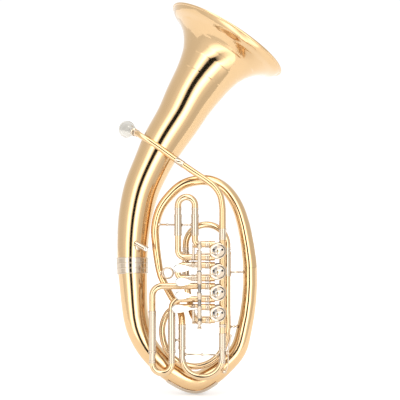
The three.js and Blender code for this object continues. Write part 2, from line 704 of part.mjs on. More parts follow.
const returnSweep = smoothCurve([
  [SLIDE_4.left, RING_DEPTH, 256],
  [-12, RING_DEPTH, 230],
  [-7, RING_DEPTH, 205],
  [-3, -27, 184],
  [5, -42, 171.5],
  [16, VALVE_DEPTH, portHeights[3][1]],
  [portX, VALVE_DEPTH, portHeights[3][1]],
].map(vector), 9);
slideTube('slide_4_tube_left', pipeRun([
  [SLIDE_4.left, RING_DEPTH, SLIDE_4.sleeveTop],
  [SLIDE_4.left, RING_DEPTH, 256],
], returnSweep), SLIDE_4.sleeveTop - SLIDE_4.sleeveFoot);
const slide4Top = SLIDE_4.arcHeight + (SLIDE_4.right - SLIDE_4.left) / 2;
slideBow(
  'slide_4_bow',
  [SLIDE_4.left, RING_DEPTH, SLIDE_4.legEnd],
  [SLIDE_4.left, RING_DEPTH, slide4Top],
  [SLIDE_4.right, RING_DEPTH, slide4Top],
  [SLIDE_4.right, RING_DEPTH, SLIDE_4.legEnd],
);

// Main tuning slide
const TUNING = { sleeveEnd: 103, rightFoot: 139, leftFoot: 152, legEnd: 136, arcHeight: 87 };
const valveOutlet = VALVE_HEIGHTS[3] - VALVE_PITCH / 2;
slideTube('tuning_tube_right', pipeRun([
  [LINE_X, VALVE_DEPTH, TUNING.sleeveEnd],
  [LINE_X, VALVE_DEPTH, valveOutlet - GAP],
]), TUNING.rightFoot - TUNING.sleeveEnd);
slideTube('tuning_tube_left', pipeRun([
  [...TUNING_LEFT, TUNING.sleeveEnd],
  [...TUNING_LEFT, BRANCH_END[2] - 2 * GAP],
]), TUNING.leftFoot - TUNING.sleeveEnd - 1);
const tuningSpan = Math.hypot(LINE_X - TUNING_LEFT[0], VALVE_DEPTH - TUNING_LEFT[1]);
const tuningBottom = TUNING.arcHeight - tuningSpan / 2;
slideBow(
  'tuning_bow',
  [...TUNING_LEFT, TUNING.legEnd],
  [...TUNING_LEFT, tuningBottom],
  [LINE_X, VALVE_DEPTH, tuningBottom],
  [LINE_X, VALVE_DEPTH, TUNING.legEnd],
);

// Water key on the tuning bow
const KEY_PIVOT = [76.6, VALVE_DEPTH, 96];
const keyPin = (half, radius, sides) => bar(
  [KEY_PIVOT[0], VALVE_DEPTH - half, KEY_PIVOT[2]],
  [KEY_PIVOT[0], VALVE_DEPTH + half, KEY_PIVOT[2]],
  radius,
  sides,
);
add('water_key_saddle', shapeOf(joined(
  block([LINE_X + TUBE_RADIUS + GAP, VALVE_DEPTH - 4.4, 92], [73.5, VALVE_DEPTH + 4.4, 100]),
  keyPin(6, 1.1, 8),
  block([73, VALVE_DEPTH - 5.4, 93.6], [78.4, VALVE_DEPTH - 3.2, 98.4]),
  block([73, VALVE_DEPTH + 3.2, 93.6], [78.4, VALVE_DEPTH + 5.4, 98.4]),
)), NICKEL_SILVER);
const KEY_PAD = [64.6, VALVE_DEPTH + 0.8, 57.2];
const KEY_SIDE = [77.4, VALVE_DEPTH + 0.4, 72];
add('water_key', shapeOf(joined(
  keyPin(2.8, 2.6, 10),
  bar(KEY_PIVOT, [83.4, VALVE_DEPTH, 137], 1.7, 8),
  bar(KEY_PIVOT, KEY_SIDE, 1.7, 8),
  bar(KEY_SIDE, [71.6, VALVE_DEPTH + 0.8, 53.2], 1.7, 8),
  bar(KEY_PAD, [71.6, VALVE_DEPTH + 0.8, 53.2], 4.2, 10),
).subtract(solid(keyPin(8, 1.5, 8)))), NICKEL_SILVER);

// Fittings

function fingerRing() {
  const [ringRadius, wire] = [11.6, 2.4];
  const centre = [-56.2, -24, 271];
  const ring = new THREE.TorusGeometry(ringRadius, wire, 6, 16).rotateX(Math.PI / 2).translate(...centre);
  const stem = bar([-70.9, -9, 270], [centre[0] - ringRadius + 0.4, centre[1] + 0.6, centre[2]], 2.2, 8);
  return shapeOf(joined(ring, stem));
}
add('finger_ring', fingerRing(), NICKEL_SILVER);

const LYRE_TOP = [-128.7, -31, 338];
const LYRE_FOOT = [-101, -31, 322.4];
const LYRE_FLANGE = [-121.5, -19.8, 330];
function lyreHolder() {
  const holder = joined(
    bar(LYRE_TOP, LYRE_FOOT, 5.6, 12),
    bar(LYRE_FLANGE, [-120.5, -22.1, 330], 9, 12, 7),
    bar([-121.2, -21, 330], [-118.5, -30, 332], 3.4, 8),
    bar([-108, -31, 326.3], LYRE_FOOT, 6.8, 12),
  );
  const socket = bar(LYRE_TOP, [-109, -31, 327], 4.2, 8).translate(-0.87, 0, 0.49);
  const screwHole = bar([-104, -31, 324.1], [-104, -44, 324.1], 1.6, 8);
  return shapeOf(holder.subtract(joined(socket, screwHole)));
}
add('lyre_holder', lyreHolder(), NICKEL_SILVER);
add('lyre_screw', shapeOf(joined(
  bar([-104, -33, 324.1], [-104, -41, 324.1], 1.2, 8),
  bar([-104, -39.2, 324.1], [-104, -43.2, 324.1], 4.4, 12),
)), SILVER_PLATE);

// A brace is a thin post with a foot at each end.
function brace(name, from, to, clearFrom, clearTo) {
  const [start, end] = [vector(from), vector(to)];
  const along = end.clone().sub(start).normalize();
  start.addScaledVector(along, clearFrom);
  end.addScaledVector(along, -clearTo);
  const length = start.distanceTo(end);
  const outline = [
    [0, 0], [0, 3.4], [1.6, 2.8], [2.8, 1.7],
    [length - 2.8, 1.7], [length - 1.6, 2.8], [length, 3.4], [length, 0],
  ];
  const lathe = new THREE.LatheGeometry(outline.map(([at, radius]) => new THREE.Vector2(radius, at)), 8);
  lathe.applyQuaternion(turnUpTo(along)).translate(start.x, start.y, start.z);
  add(name, closed(lathe), NICKEL_SILVER);
}

const offSleeve = SLEEVE_RADIUS + GAP;
const offTube = TUBE_RADIUS + GAP;
brace('brace_slide_1', [-84, 0, 378], [SLIDE_1.left, VALVE_DEPTH, 378], 11.8, offSleeve);
brace('brace_slide_3', [SLIDE_3.right, VALVE_DEPTH, 124], [...TUNING_LEFT, 124], offSleeve, offSleeve);
brace('brace_tuning', [...TUNING_LEFT, 92], [LINE_X, VALVE_DEPTH, 92], offTube, offTube);
brace('brace_ring_upper', [SLIDE_4.right, RING_DEPTH, 272], [127.4, 0, 272], offSleeve, 16.6);
brace('brace_ring_lower', [SLIDE_4.right, RING_DEPTH, 151], [114.8, 0, 151], TUBE_RADIUS + 1.2, 18.6);

export default instrument;
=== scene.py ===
import json
from bisect import bisect_right
from math import ceil, cos, pi, radians, sin, sqrt, tan

import bmesh
import bpy
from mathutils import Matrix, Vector

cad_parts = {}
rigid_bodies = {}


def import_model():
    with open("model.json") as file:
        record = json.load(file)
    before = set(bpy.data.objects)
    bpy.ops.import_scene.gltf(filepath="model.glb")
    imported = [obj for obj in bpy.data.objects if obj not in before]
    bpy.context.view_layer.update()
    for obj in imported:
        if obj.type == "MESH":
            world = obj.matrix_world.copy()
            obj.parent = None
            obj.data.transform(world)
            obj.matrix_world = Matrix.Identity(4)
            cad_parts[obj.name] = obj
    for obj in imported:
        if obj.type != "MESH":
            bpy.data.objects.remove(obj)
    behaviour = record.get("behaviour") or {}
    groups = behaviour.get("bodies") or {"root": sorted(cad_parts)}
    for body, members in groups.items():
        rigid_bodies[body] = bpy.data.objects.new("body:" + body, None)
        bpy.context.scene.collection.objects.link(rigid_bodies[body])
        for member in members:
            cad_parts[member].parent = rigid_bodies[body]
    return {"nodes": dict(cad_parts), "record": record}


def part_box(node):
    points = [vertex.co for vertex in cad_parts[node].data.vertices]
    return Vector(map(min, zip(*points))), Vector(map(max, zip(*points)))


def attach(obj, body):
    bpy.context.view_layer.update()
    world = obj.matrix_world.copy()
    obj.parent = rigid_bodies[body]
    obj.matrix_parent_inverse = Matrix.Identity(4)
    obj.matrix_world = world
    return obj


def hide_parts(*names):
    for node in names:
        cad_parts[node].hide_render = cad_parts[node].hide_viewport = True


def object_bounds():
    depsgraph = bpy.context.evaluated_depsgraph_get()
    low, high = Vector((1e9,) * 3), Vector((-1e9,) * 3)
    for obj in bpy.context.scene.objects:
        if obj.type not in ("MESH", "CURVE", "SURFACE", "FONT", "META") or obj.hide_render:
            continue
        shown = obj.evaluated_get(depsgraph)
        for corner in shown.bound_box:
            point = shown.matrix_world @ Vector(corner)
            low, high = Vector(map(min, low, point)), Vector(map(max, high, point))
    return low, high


for leftover in list(bpy.data.objects):
    bpy.data.objects.remove(leftover)

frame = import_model()
CAD_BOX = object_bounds()
NODES = frame["nodes"]
BODY_OF_NODE = {
    node: body for body, nodes in frame["record"]["behaviour"]["bodies"].items() for node in nodes
}
JOINTS = {joint["name"]: joint for joint in frame["record"]["behaviour"]["joints"]}
MM = 0.001
# How bright the soft boxes are, with the rest of the room at about 1.
BOX_LIGHT = 3.6
VALVES = (1, 2, 3, 4)
RIGHT, BACK, UP = Vector((1, 0, 0)), Vector((0, 1, 0)), Vector((0, 0, 1))
LEVER_SIDE = -BACK


# Materials

def socket_node(tree, kind, **values):
    node = tree.nodes.new(kind)
    for key, value in values.items():
        if hasattr(node, key):
            setattr(node, key, value)
        else:
            node.inputs[key].default_value = value
    return node


def start_material(name):
    material = bpy.data.materials.new(name)
    material.use_nodes = True
    tree = material.node_tree
    return material, tree, tree.nodes["Principled BSDF"], tree.links.new


def metal(name, colour, shade, roughness, scratch=0.02, coat=0.0):
    """A polished metal: slow patches of tone, fine wiping marks in the roughness, and a faint ripple."""
    material, tree, shader, link = start_material(name)
    shader.inputs["Metallic"].default_value = 1.0
    shader.inputs["Coat Weight"].default_value = coat
    shader.inputs["Coat Roughness"].default_value = 0.05
    place = socket_node(tree, "ShaderNodeTexCoord")
    patches = socket_node(tree, "ShaderNodeTexNoise", Scale=9.0, Detail=3.0, Roughness=0.55)
    tone = socket_node(tree, "ShaderNodeMixRGB", Color1=(*colour, 1), Color2=(*shade, 1))
    marks = socket_node(tree, "ShaderNodeTexNoise", Scale=260.0, Detail=4.0, Roughness=0.6)
    spread = socket_node(tree, "ShaderNodeMapRange", **{
        "From Min": 0.3, "From Max": 0.7, "To Min": roughness - scratch, "To Max": roughness + scratch,
    })
    ripple = socket_node(tree, "ShaderNodeTexNoise", Scale=38.0, Detail=1.0)
    bump = socket_node(tree, "ShaderNodeBump", Strength=0.012, Distance=0.002)
    for noise in (patches, marks, ripple):
        link(place.outputs["Object"], noise.inputs["Vector"])
    link(patches.outputs["Fac"], tone.inputs["Fac"])
    link(tone.outputs["Color"], shader.inputs["Base Color"])
    link(marks.outputs["Fac"], spread.inputs["Value"])
    link(spread.outputs["Result"], shader.inputs["Roughness"])
    link(ripple.outputs["Fac"], bump.inputs["Height"])
    link(bump.outputs["Normal"], shader.inputs["Normal"])
    return material


def rubber(name, colour):
    """A dull grainy material, for rubber and cork."""
    material, tree, shader, link = start_material(name)
    shader.inputs["Roughness"].default_value = 0.6
    place = socket_node(tree, "ShaderNodeTexCoord")
    grain = socket_node(tree, "ShaderNodeTexNoise", Scale=900.0, Detail=2.0)
    lighter = (1.8 * part for part in colour)
    tone = socket_node(tree, "ShaderNodeMixRGB", Color1=(*colour, 1), Color2=(*lighter, 1))
    bump = socket_node(tree, "ShaderNodeBump", Strength=0.2, Distance=0.0004)
    link(place.outputs["Object"], grain.inputs["Vector"])
    link(grain.outputs["Fac"], tone.inputs["Fac"])
    link(tone.outputs["Color"], shader.inputs["Base Color"])
    link(grain.outputs["Fac"], bump.inputs["Height"])
    link(bump.outputs["Normal"], shader.inputs["Normal"])
    return material


GOLD = metal("gold_brass_lacquered", (0.735, 0.51, 0.28), (0.69, 0.47, 0.25), 0.10, coat=0.2)
SLIDE_GOLD = metal("gold_brass_slides", (0.73, 0.54, 0.33), (0.68, 0.49, 0.29), 0.10, coat=0.2)
NICKEL = metal("nickel_silver_polished", (0.64, 0.535, 0.42), (0.57, 0.47, 0.36), 0.11)
SILVER = metal("silver_plate_bright", (0.80, 0.77, 0.71), (0.74, 0.70, 0.64), 0.09)
# Dark steel for the return springs; the same dark colour is painted shade on the stop plates.
STEEL_AND_PLATE_SHADE = metal("spring_steel_and_plate_shade", (0.30, 0.29, 0.28), (0.22, 0.21, 0.20), 0.28)
CUP_SILVER = metal("silver_plate_mouthpiece", (0.68, 0.65, 0.59), (0.62, 0.59, 0.53), 0.12)
BRASS = metal("screw_brass", (0.78, 0.56, 0.30), (0.70, 0.48, 0.24), 0.16)
# Black rubber for the stop bumpers; the same black is also painted shade in the rotor screws' slots.
BUMPER_AND_SLOT_SHADE = rubber("bumper_rubber_and_slot_shade", (0.012, 0.012, 0.013))
CORK = rubber("water_key_cork", (0.32, 0.19, 0.10))


# Mesh building

def put(name, data):
    """A new object in the scene."""
    thing = bpy.data.objects.new(name, data)
    bpy.context.scene.collection.objects.link(thing)
    return thing


def make_piece(name, parts, material, nodes=(), body="instrument", bevel=0.0):
    """One object from (vertices, faces) parts, riding on a body and standing for its CAD nodes."""
    vertices, faces = [], []
    for part_vertices, part_faces in parts:
        offset = len(vertices)
        vertices += part_vertices
        faces += [[offset + corner for corner in face] for face in part_faces]
    mesh = bpy.data.meshes.new(name)
    mesh.from_pydata([tuple(vertex) for vertex in vertices], [], faces)
    shape = bmesh.new()
    shape.from_mesh(mesh)
    bmesh.ops.recalc_face_normals(shape, faces=shape.faces)
    shape.to_mesh(mesh)
    shape.free()
    mesh.materials.append(material)
    mesh.shade_smooth()
    mesh.set_sharp_from_angle(angle=radians(38))
    piece = put(name, mesh)
    if bevel:
        rounding = piece.modifiers.new("rounding", "BEVEL")
        rounding.width = bevel
        rounding.segments = 2
        rounding.limit_method = "ANGLE"
        rounding.angle_limit = radians(35)
    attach(piece, body)
    if nodes:
        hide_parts(*nodes)
    return piece


def grid_faces(rows, columns, wrap_rows=False, wrap_columns=True):
    faces = []
    for row in range(rows if wrap_rows else rows - 1):
        for column in range(columns if wrap_columns else columns - 1):
            along, across = (row + 1) % rows, (column + 1) % columns
            faces.append([row * columns + column, row * columns + across,
                          along * columns + across, along * columns + column])
    return faces


def basis(axis, hint=BACK):
    axis = Vector(axis).normalized()
    side = hint - axis * hint.dot(axis)
    if side.length < 0.1:
        side = RIGHT - axis * axis.x
    side.normalize()
    return axis, side, axis.cross(side)


def full_turn(count):
    """Angles evenly round a circle, in radians."""
    return [2 * pi * step / count for step in range(count)]


def end_faces(rows, columns):
    return [list(range(columns)), list(range((rows - 1) * columns, rows * columns))]


def turned(origin, axis, outline, around=32, closed=False):
    """A part turned about an axis from (distance, radius) points. Points on the axis close its ends."""
    axis, side, up = basis(axis)
    origin = Vector(origin)
    vertices = []
    for distance, radius in outline:
        centre = origin + axis * distance
        for angle in full_turn(around):
            vertices.append(centre + (side * cos(angle) + up * sin(angle)) * max(radius, 1e-6))
    faces = grid_faces(len(outline), around, wrap_rows=closed)
    if not closed:
        faces += end_faces(len(outline), around)
    return vertices, faces


def lathe(origin, axis, outline, around=32, closed=False):
    """A turned part from (distance, radius) points in mm."""
    return turned(origin, axis, [(d * MM, r * MM) for d, r in outline], around, closed)


def rod(start, end, radius, around=16, end_radius=None):
    start, end = Vector(start), Vector(end)
    last = radius if end_radius is None else end_radius
    return turned(start, end - start, [(0, radius), ((end - start).length, last)], around)


def slab(outline, centre, across, up, thickness):
    """A flat plate from an outline of (across, up) points, its thickness along their normal."""
    centre, across, up = Vector(centre), Vector(across), Vector(up)
    normal = across.cross(up).normalized()
    count = len(outline)
    vertices = []
    for side in (-0.5, 0.5):
        vertices += [centre + across * a + up * b + normal * (side * thickness) for a, b in outline]
    faces = [list(range(count - 1, -1, -1)), list(range(count, 2 * count))]
    faces += [[k, (k + 1) % count, count + (k + 1) % count, count + k] for k in range(count)]
    return vertices, faces


def flat(outline, centre, across, up, thickness):
    """A slab with its outline and thickness in mm."""
    return slab([(a * MM, b * MM) for a, b in outline], centre, across, up, thickness * MM)


def arc(centre, radius, start, end, steps):
    """Points on a circle, angles in degrees."""
    angles = [radians(start + (end - start) * step / steps) for step in range(steps + 1)]
    return [(centre[0] + radius * cos(angle), centre[1] + radius * sin(angle)) for angle in angles]


# Tubes, rebuilt from the rings of their CAD nodes

def in_order(vertices):
    return sorted(vertices, key=lambda vertex: vertex.index)


def tube_rings(node):
    """The outer and inner rings of a CAD tube, each a list of (centre, normal, radius) from end to end.

    The two flat patches with the most corners are the tube's ends. Everything is taken in order of
    its index, so each run measures the same.
    """
    shape = bmesh.new()
    shape.from_mesh(NODES[node].data)
    bmesh.ops.remove_doubles(shape, verts=shape.verts, dist=2e-6)
    shape.verts.index_update()
    left = set(shape.faces)
    patches = []
    for seed in shape.faces:
        if seed not in left:
            continue
        left.remove(seed)
        patch = [seed]
        for face in patch:
            for edge in face.edges:
                for other in edge.link_faces:
                    if other in left and other.normal.dot(seed.normal) > 0.99999:
                        left.remove(other)
                        patch.append(other)
        patches.append(in_order({vertex for face in patch for vertex in face.verts}))
    caps = sorted(patches, key=lambda patch: (len(patch), patch[0].index))[-2:]

    def halves(cap):
        centre = sum((vertex.co for vertex in cap), Vector()) / len(cap)
        by_reach = sorted(cap, key=lambda vertex: (vertex.co - centre).length)
        return set(by_reach[len(cap) // 2:]), set(by_reach[:len(cap) // 2])

    def walk(start, blocked):
        rings, seen = [start], set(start) | blocked
        while True:
            step = {edge.other_vert(vertex) for vertex in rings[-1] for edge in vertex.link_edges} - seen
            if not step:
                return rings
            rings.append(step)
            seen |= step

    (outer_a, inner_a), (outer_b, inner_b) = halves(caps[0]), halves(caps[1])
    measured = []
    for rings in (walk(outer_a, inner_a | inner_b), walk(inner_a, outer_a | outer_b)):
        rows = []
        for ring in rings:
            places = [vertex.co.copy() for vertex in in_order(ring)]
            centre = sum(places, Vector()) / len(places)
            spokes = [place - centre for place in places]
            normal = max((spokes[0].cross(spoke) for spoke in spokes[1:]), key=lambda cross: cross.length)
            radius = sum(spoke.length for spoke in spokes) / len(spokes)
            rows.append((centre, normal.normalized(), radius))
        measured.append(rows)
    shape.free()
    return measured


def hermite(t):
    """The weights of the start, its slope, the end and its slope, a share t of the way along."""
    return 2 * t**3 - 3 * t**2 + 1, t**3 - 2 * t**2 + t, 3 * t**2 - 2 * t**3, t**3 - t**2


class Spine:
    """A smooth centre line through rings, exact on straight runs and on round bends."""

    def __init__(self, rings, start_near=None):
        if start_near is not None and (rings[-1][0] - start_near).length < (rings[0][0] - start_near).length:
            rings = rings[::-1]
        self.points = [ring[0] for ring in rings]
        self.tangents = []
        for index, (centre, normal, _) in enumerate(rings):
            before = self.points[max(index - 1, 0)]
            after = self.points[min(index + 1, len(rings) - 1)]
            self.tangents.append(normal if normal.dot(after - before) > 0 else -normal)
        self.marks, self.stations = [0.0], [0.0]
        for index in range(len(rings) - 1):
            chord = (self.points[index + 1] - self.points[index]).length
            bend = self.tangents[index].angle(self.tangents[index + 1], 0.0)
            length = chord * (bend / 2) / sin(bend / 2) if bend > 1e-4 else chord
            steps = max(1, ceil(bend / radians(4.5)))
            start = self.marks[-1]
            self.stations += [start + length * step / steps for step in range(1, steps + 1)]
            self.marks.append(start + length)
        self.length = self.marks[-1]
        self.radii = [(mark, ring[2]) for mark, ring in zip(self.marks, rings)]

    def at(self, distance):
        """The point and the tangent at a distance along the line."""
        index = min(max(bisect_right(self.marks, distance) - 1, 0), len(self.marks) - 2)
        start, end = self.points[index], self.points[index + 1]
        first, last = self.tangents[index], self.tangents[index + 1]
        t = (distance - self.marks[index]) / (self.marks[index + 1] - self.marks[index])
        chord = (end - start).length
        bend = first.angle(last, 0.0)
        pull = chord * (2 * tan(bend / 4) / sin(bend / 2) if bend > 1e-4 else 1.0)
        w0, w1, w2, w3 = hermite(t)
        point = start * w0 + first * (pull * w1) + end * w2 + last * (pull * w3)
        slope = (
            start * (6 * t**2 - 6 * t) + first * (pull * (3 * t**2 - 4 * t + 1))
            + end * (6 * t - 6 * t**2) + last * (pull * (3 * t**2 - 2 * t))
        )
        return point, slope.normalized()

    def nearest(self, place, samples=400):
        """The distance along the line at its closest point to a place."""
        place = Vector(place)
        steps = [self.length * step / samples for step in range(samples + 1)]
        return min(steps, key=lambda distance: (self.at(distance)[0] - place).length)


def smooth_radius(rows):
    """A smooth monotone curve through (distance, radius) rows."""
    slopes = [(b[1] - a[1]) / (b[0] - a[0]) for a, b in zip(rows, rows[1:])]
    pulls = [slopes[0]]
    for before, after in zip(slopes, slopes[1:]):
        same = before * after > 0
        pulls.append(2 * before * after / (before + after) if same else 0.0)
    pulls.append(slopes[-1])

    def radius(distance):
        if distance <= rows[0][0]:
            return rows[0][1]
        if distance >= rows[-1][0]:
            return rows[-1][1]
        index = bisect_right([row[0] for row in rows], distance) - 1
        (d0, r0), (d1, r1) = rows[index], rows[index + 1]
        span = d1 - d0
        t = (distance - d0) / span
        w0, w1, w2, w3 = hermite(t)
        return r0 * w0 + pulls[index] * span * w1 + r1 * w2 + pulls[index + 1] * span * w3
    return radius


def filled(spine, outline, radius=None):
    """The outline with a point at each bend station between its own, on the radius curve if one is given."""
    made = []
    for (d0, r0), (d1, r1) in zip(outline, outline[1:]):
        made.append((d0, r0))
        between = [s for s in spine.stations if min(d0, d1) + 2e-4 < s < max(d0, d1) - 2e-4]
        for station in (between if d1 > d0 else reversed(between)):
            part = r0 + (r1 - r0) * (station - d0) / (d1 - d0)
            made.append((station, radius(station) if radius else part))
    made.append(outline[-1])
    return made


def swept(spine, outline, around=32, start=0.0, sweep=360.0):
    """A closed (distance, radius) outline carried round the spine. A sweep under 360 makes a strip."""
    columns = around if sweep == 360 else around + 1
    frames = {}
    side = BACK
    for distance in sorted({row[0] for row in outline}):
        centre, tangent = spine.at(distance)
        side = (side - tangent * side.dot(tangent)).normalized()
        frames[distance] = (centre, side.copy(), tangent.cross(side))
    vertices = []
    for distance, radius in outline:
        centre, side, up = frames[distance]
        for step in range(columns):
            angle = radians(start + sweep * step / around)
            vertices.append(centre + (side * cos(angle) + up * sin(angle)) * radius)
    faces = grid_faces(len(outline), columns, wrap_rows=True, wrap_columns=sweep == 360)
    if sweep != 360:
        faces.append([row * columns for row in range(len(outline))])
        faces.append([row * columns + columns - 1 for row in range(len(outline))])
    return vertices, faces


def shell(spine, start, end, outer, wall, around=32, radius=None):
    """A plain tube between two distances, open at both ends. outer and wall are radii in metres."""
    if radius is None:
        path = filled(spine, [(start, outer), (end, outer)])
    else:
        path = filled(spine, [(start, radius(start)), (end, radius(end))], radius)
    return swept(spine, path + [(distance, r - wall) for distance, r in reversed(path)], around)


def ferrule(spine, start, end, radius, rise=0.8 * MM, around=32):
    """A ring with a rounded bead at each edge, seated on a tube of that radius."""
    bead = min(1.1 * MM, (end - start) / 4)
    half = [(0, radius - 0.05 * MM), (0, radius + 0.3 * rise)]
    for turn in (0.6, 1.57, 2.5):
        half.append((bead * (1 - cos(turn)), radius + rise * (0.35 + 0.65 * sin(turn))))
    half.append((2.2 * bead, radius + 0.5 * rise))
    crown = [(start + along, size) for along, size in half]
    crown += [(end - along, size) for along, size in reversed(half)]
    return swept(spine, crown, around)


# Bell, bottom bow and upper branch

def build_bell():
    """The bell with its rolled rim. The outline runs up outside, round the roll and back down inside."""
    outer, _ = tube_rings("bell")
    rim = max(outer, key=lambda ring: ring[2])[0]
    spine = Spine(outer, rim)
    widest = max(radius for _, radius in spine.radii)
    wall, bead = 0.8 * MM, 2.7 * MM
    flare = [(3 * MM, widest - 2.2 * MM)] + [row for row in spine.radii if row[0] > 4 * MM]
    radius = smooth_radius(flare)
    end = spine.length
    # Extra stations, close together where the flare opens.
    spine.stations = sorted(set(spine.stations + [2 * MM * step for step in range(3, 75)]
                                + [end * step / 60 for step in range(12, 60)]))
    start = 6 * MM
    outside = filled(spine, [(end, radius(end)), (start, radius(start))], radius)
    roll = arc((bead, widest - bead), bead, -25, 300, 16)

    def inner(distance):
        return radius(distance) - wall
    inside = filled(spine, [(start, inner(start)), (end, inner(end))], inner)
    make_piece("bell_body", [swept(spine, outside + roll + inside, 96)], GOLD, ["bell"])
    return spine, radius


def build_bore(name, node, around, spine, radius):
    make_piece(name, [shell(spine, 0, spine.length, 0, 0.7 * MM, around, radius)], GOLD, [node])


bell_spine, bell_radius = build_bell()
bow_spine = Spine(tube_rings("bottom_bow")[0], bell_spine.points[-1])
bow_radius = smooth_radius(bow_spine.radii)
build_bore("bottom_bow_tube", "bottom_bow", 72, bow_spine, bow_radius)

# The branch starts at the bow's own radius. The CAD's wider lip at this joint is left out.
BRANCH_LIP = 14.3 * MM
branch_spine = Spine(tube_rings("upper_branch")[0], bow_spine.points[-1])
branch_rows = [row for row in branch_spine.radii if row[0] > BRANCH_LIP]
branch_radius = smooth_radius([(0.0, bow_radius(bow_spine.length)), *branch_rows])
build_bore("upper_branch_tube", "upper_branch", 48, branch_spine, branch_radius)


def build_garland():
    """A nickel sleeve over the joint of bell and bow, with raised bands between fine grooves."""
    outer, inner = tube_rings("bell_garland")
    spine = Spine(outer, bell_spine.points[-1] + UP)
    bore = smooth_radius(sorted((spine.nearest(centre), radius) for centre, _, radius in inner))
    bands, flat, bead = 3, 1.1 * MM, 0.75 * MM
    outline = []
    for border in range(bands + 1):
        centre = 1.5 * MM + (spine.length - 3 * MM) * border / bands
        for across in (-1.2, -0.7, 0.0, 0.7, 1.2):
            at = centre + across * MM
            outline.append((at, bore(at) + flat + bead * sqrt(max(0.0, 1 - (across / 1.2)**2))))
    outline.insert(0, (0, bore(0) + 0.4 * MM))
    outline += [(spine.length, bore(spine.length) + 0.4 * MM), (spine.length, bore(spine.length) - 0.4 * MM)]
    outline.append((0, bore(0) - 0.4 * MM))
    make_piece("garland_sleeve", [swept(spine, outline, 72)], NICKEL, ["bell_garland"])


def build_guard():
    """A saddle of sheet metal under the bottom bow."""
    low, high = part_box("bottom_guard")
    under = [s for s in bow_spine.stations if bow_spine.at(s)[0].z < 0.09]
    span = [s for s in under if low.x + 12 * MM < bow_spine.at(s)[0].x < high.x - 12 * MM]
    start, end = span[0], span[-1]

    def seat(s):
        return bow_radius(s) + 0.2 * MM
    inside = filled(bow_spine, [(start, seat(start)), (end, seat(end))], seat)
    lowest = (start + end) / 2
    thick = min(1.5 * MM, bow_spine.at(lowest)[0].z - seat(lowest))
    outside = [(s, radius + thick) for s, radius in reversed(inside)]
    # Straight down is -90 degrees round this part of the bow.
    strip = swept(bow_spine, inside + outside, 28, start=-90 - 46, sweep=2 * 46)
    make_piece("bow_guard", [strip], NICKEL, ["bottom_guard"], bevel=0.4 * MM)


build_garland()
build_guard()


# Leadpipe, receiver and mouthpiece

lead_rings = tube_rings("leadpipe")[0]
receiver_rings = tube_rings("mouthpiece_receiver")[0]
receiver_foot = min((ring[0] for ring in receiver_rings), key=lambda place: (place - lead_rings[0][0]).length)
lead_spine = Spine(lead_rings, receiver_foot)
lead_radius = smooth_radius(lead_spine.radii)
build_bore("leadpipe_tube", "leadpipe", 36, lead_spine, lead_radius)


def build_lead_fittings():
    bell_edge = lead_spine.nearest((-0.030, -0.026, 0.517))
    collar = ferrule(lead_spine, bell_edge - 11 * MM, bell_edge + 11 * MM, lead_radius(bell_edge), 1.2 * MM)
    last = lead_spine.length
    foot = ferrule(lead_spine, last - 26 * MM, last - 1 * MM, lead_radius(last), 0.9 * MM)
    make_piece("leadpipe_collars", [collar, foot], NICKEL)
    post_at = lead_spine.nearest((-0.068, -0.020, 0.545))
    start, _ = lead_spine.at(post_at)
    end, _ = bell_spine.at(bell_spine.nearest(start))
    toward = (end - start).normalized()
    reach = (end - start).length - bell_radius(bell_spine.nearest(start))
    foot_outline = [(lead_radius(post_at) - 1 * MM, 2.2 * MM), (lead_radius(post_at) + 1.2 * MM, 2.0 * MM),
                    (reach - 2 * MM, 2.0 * MM), (reach - 0.8 * MM, 5 * MM), (reach + 0.2 * MM, 6 * MM)]
    make_piece("leadpipe_post", [turned(start, toward, foot_outline, 24)], NICKEL)


def build_mouthpiece():
    spine = Spine(receiver_rings, receiver_foot)
    foot, axis = spine.at(0)
    length = spine.length / MM
    socket = lathe(foot, axis, [
        (0, 7.6), (2, 7.9), (3, 7.4), (length - 8, 7.6), (length - 7, 8.8), (length - 5.6, 9.0),
        (length - 4.4, 8.3), (length - 2, 8.6), (length - 0.6, 9.0), (length, 8.6), (length, 6.5), (0, 5.6),
    ], 40, closed=True)
    make_piece("receiver_socket", [socket], NICKEL, ["mouthpiece_receiver"])

    mouth = Spine(tube_rings("mouthpiece")[0], receiver_foot)
    tail, axis = mouth.at(0)
    end = mouth.length / MM
    widest = max(radius for _, radius in mouth.radii) / MM
    # Shank, throat bead, the cup's outer curve, and the rounded rim with the cup inside it.
    shape = [(0, 4.9), (end - 45, 6.2), (end - 43, 6.6), (end - 41.5, 6.2), (end - 38, 7.2),
             (end - 34.5, 9.4), (end - 31, 12.0), (end - 27, 14.4), (end - 21.5, 16.0), (end - 15, 16.9),
             (end - 9, 17.2), (end - 6.2, 17.6), (end - 5, 18.6)]
    lip = 3.2
    for turn in (-0.6, 0, 0.5, 1, 1.57):
        shape.append((end - lip + lip * sin(turn), widest - lip + lip * cos(turn)))
    shape += [(end - 0.3, 14.6), (end - 1.4, 13.4), (end - 5, 12.6), (end - 12, 11.2), (end - 19, 8.2),
              (end - 24, 5.0), (end - 28, 3.4), (end - 34, 3.2), (0, 3.9)]
    cup = lathe(tail, axis, shape, 56, closed=True)
    make_piece("mouthpiece_cup", [cup], CUP_SILVER, ["mouthpiece"], "mouthpiece")


build_lead_fittings()
build_mouthpiece()


# Slides

TUBE = 7.2 * MM
SLEEVE = 8.2 * MM
WALL = 0.7 * MM


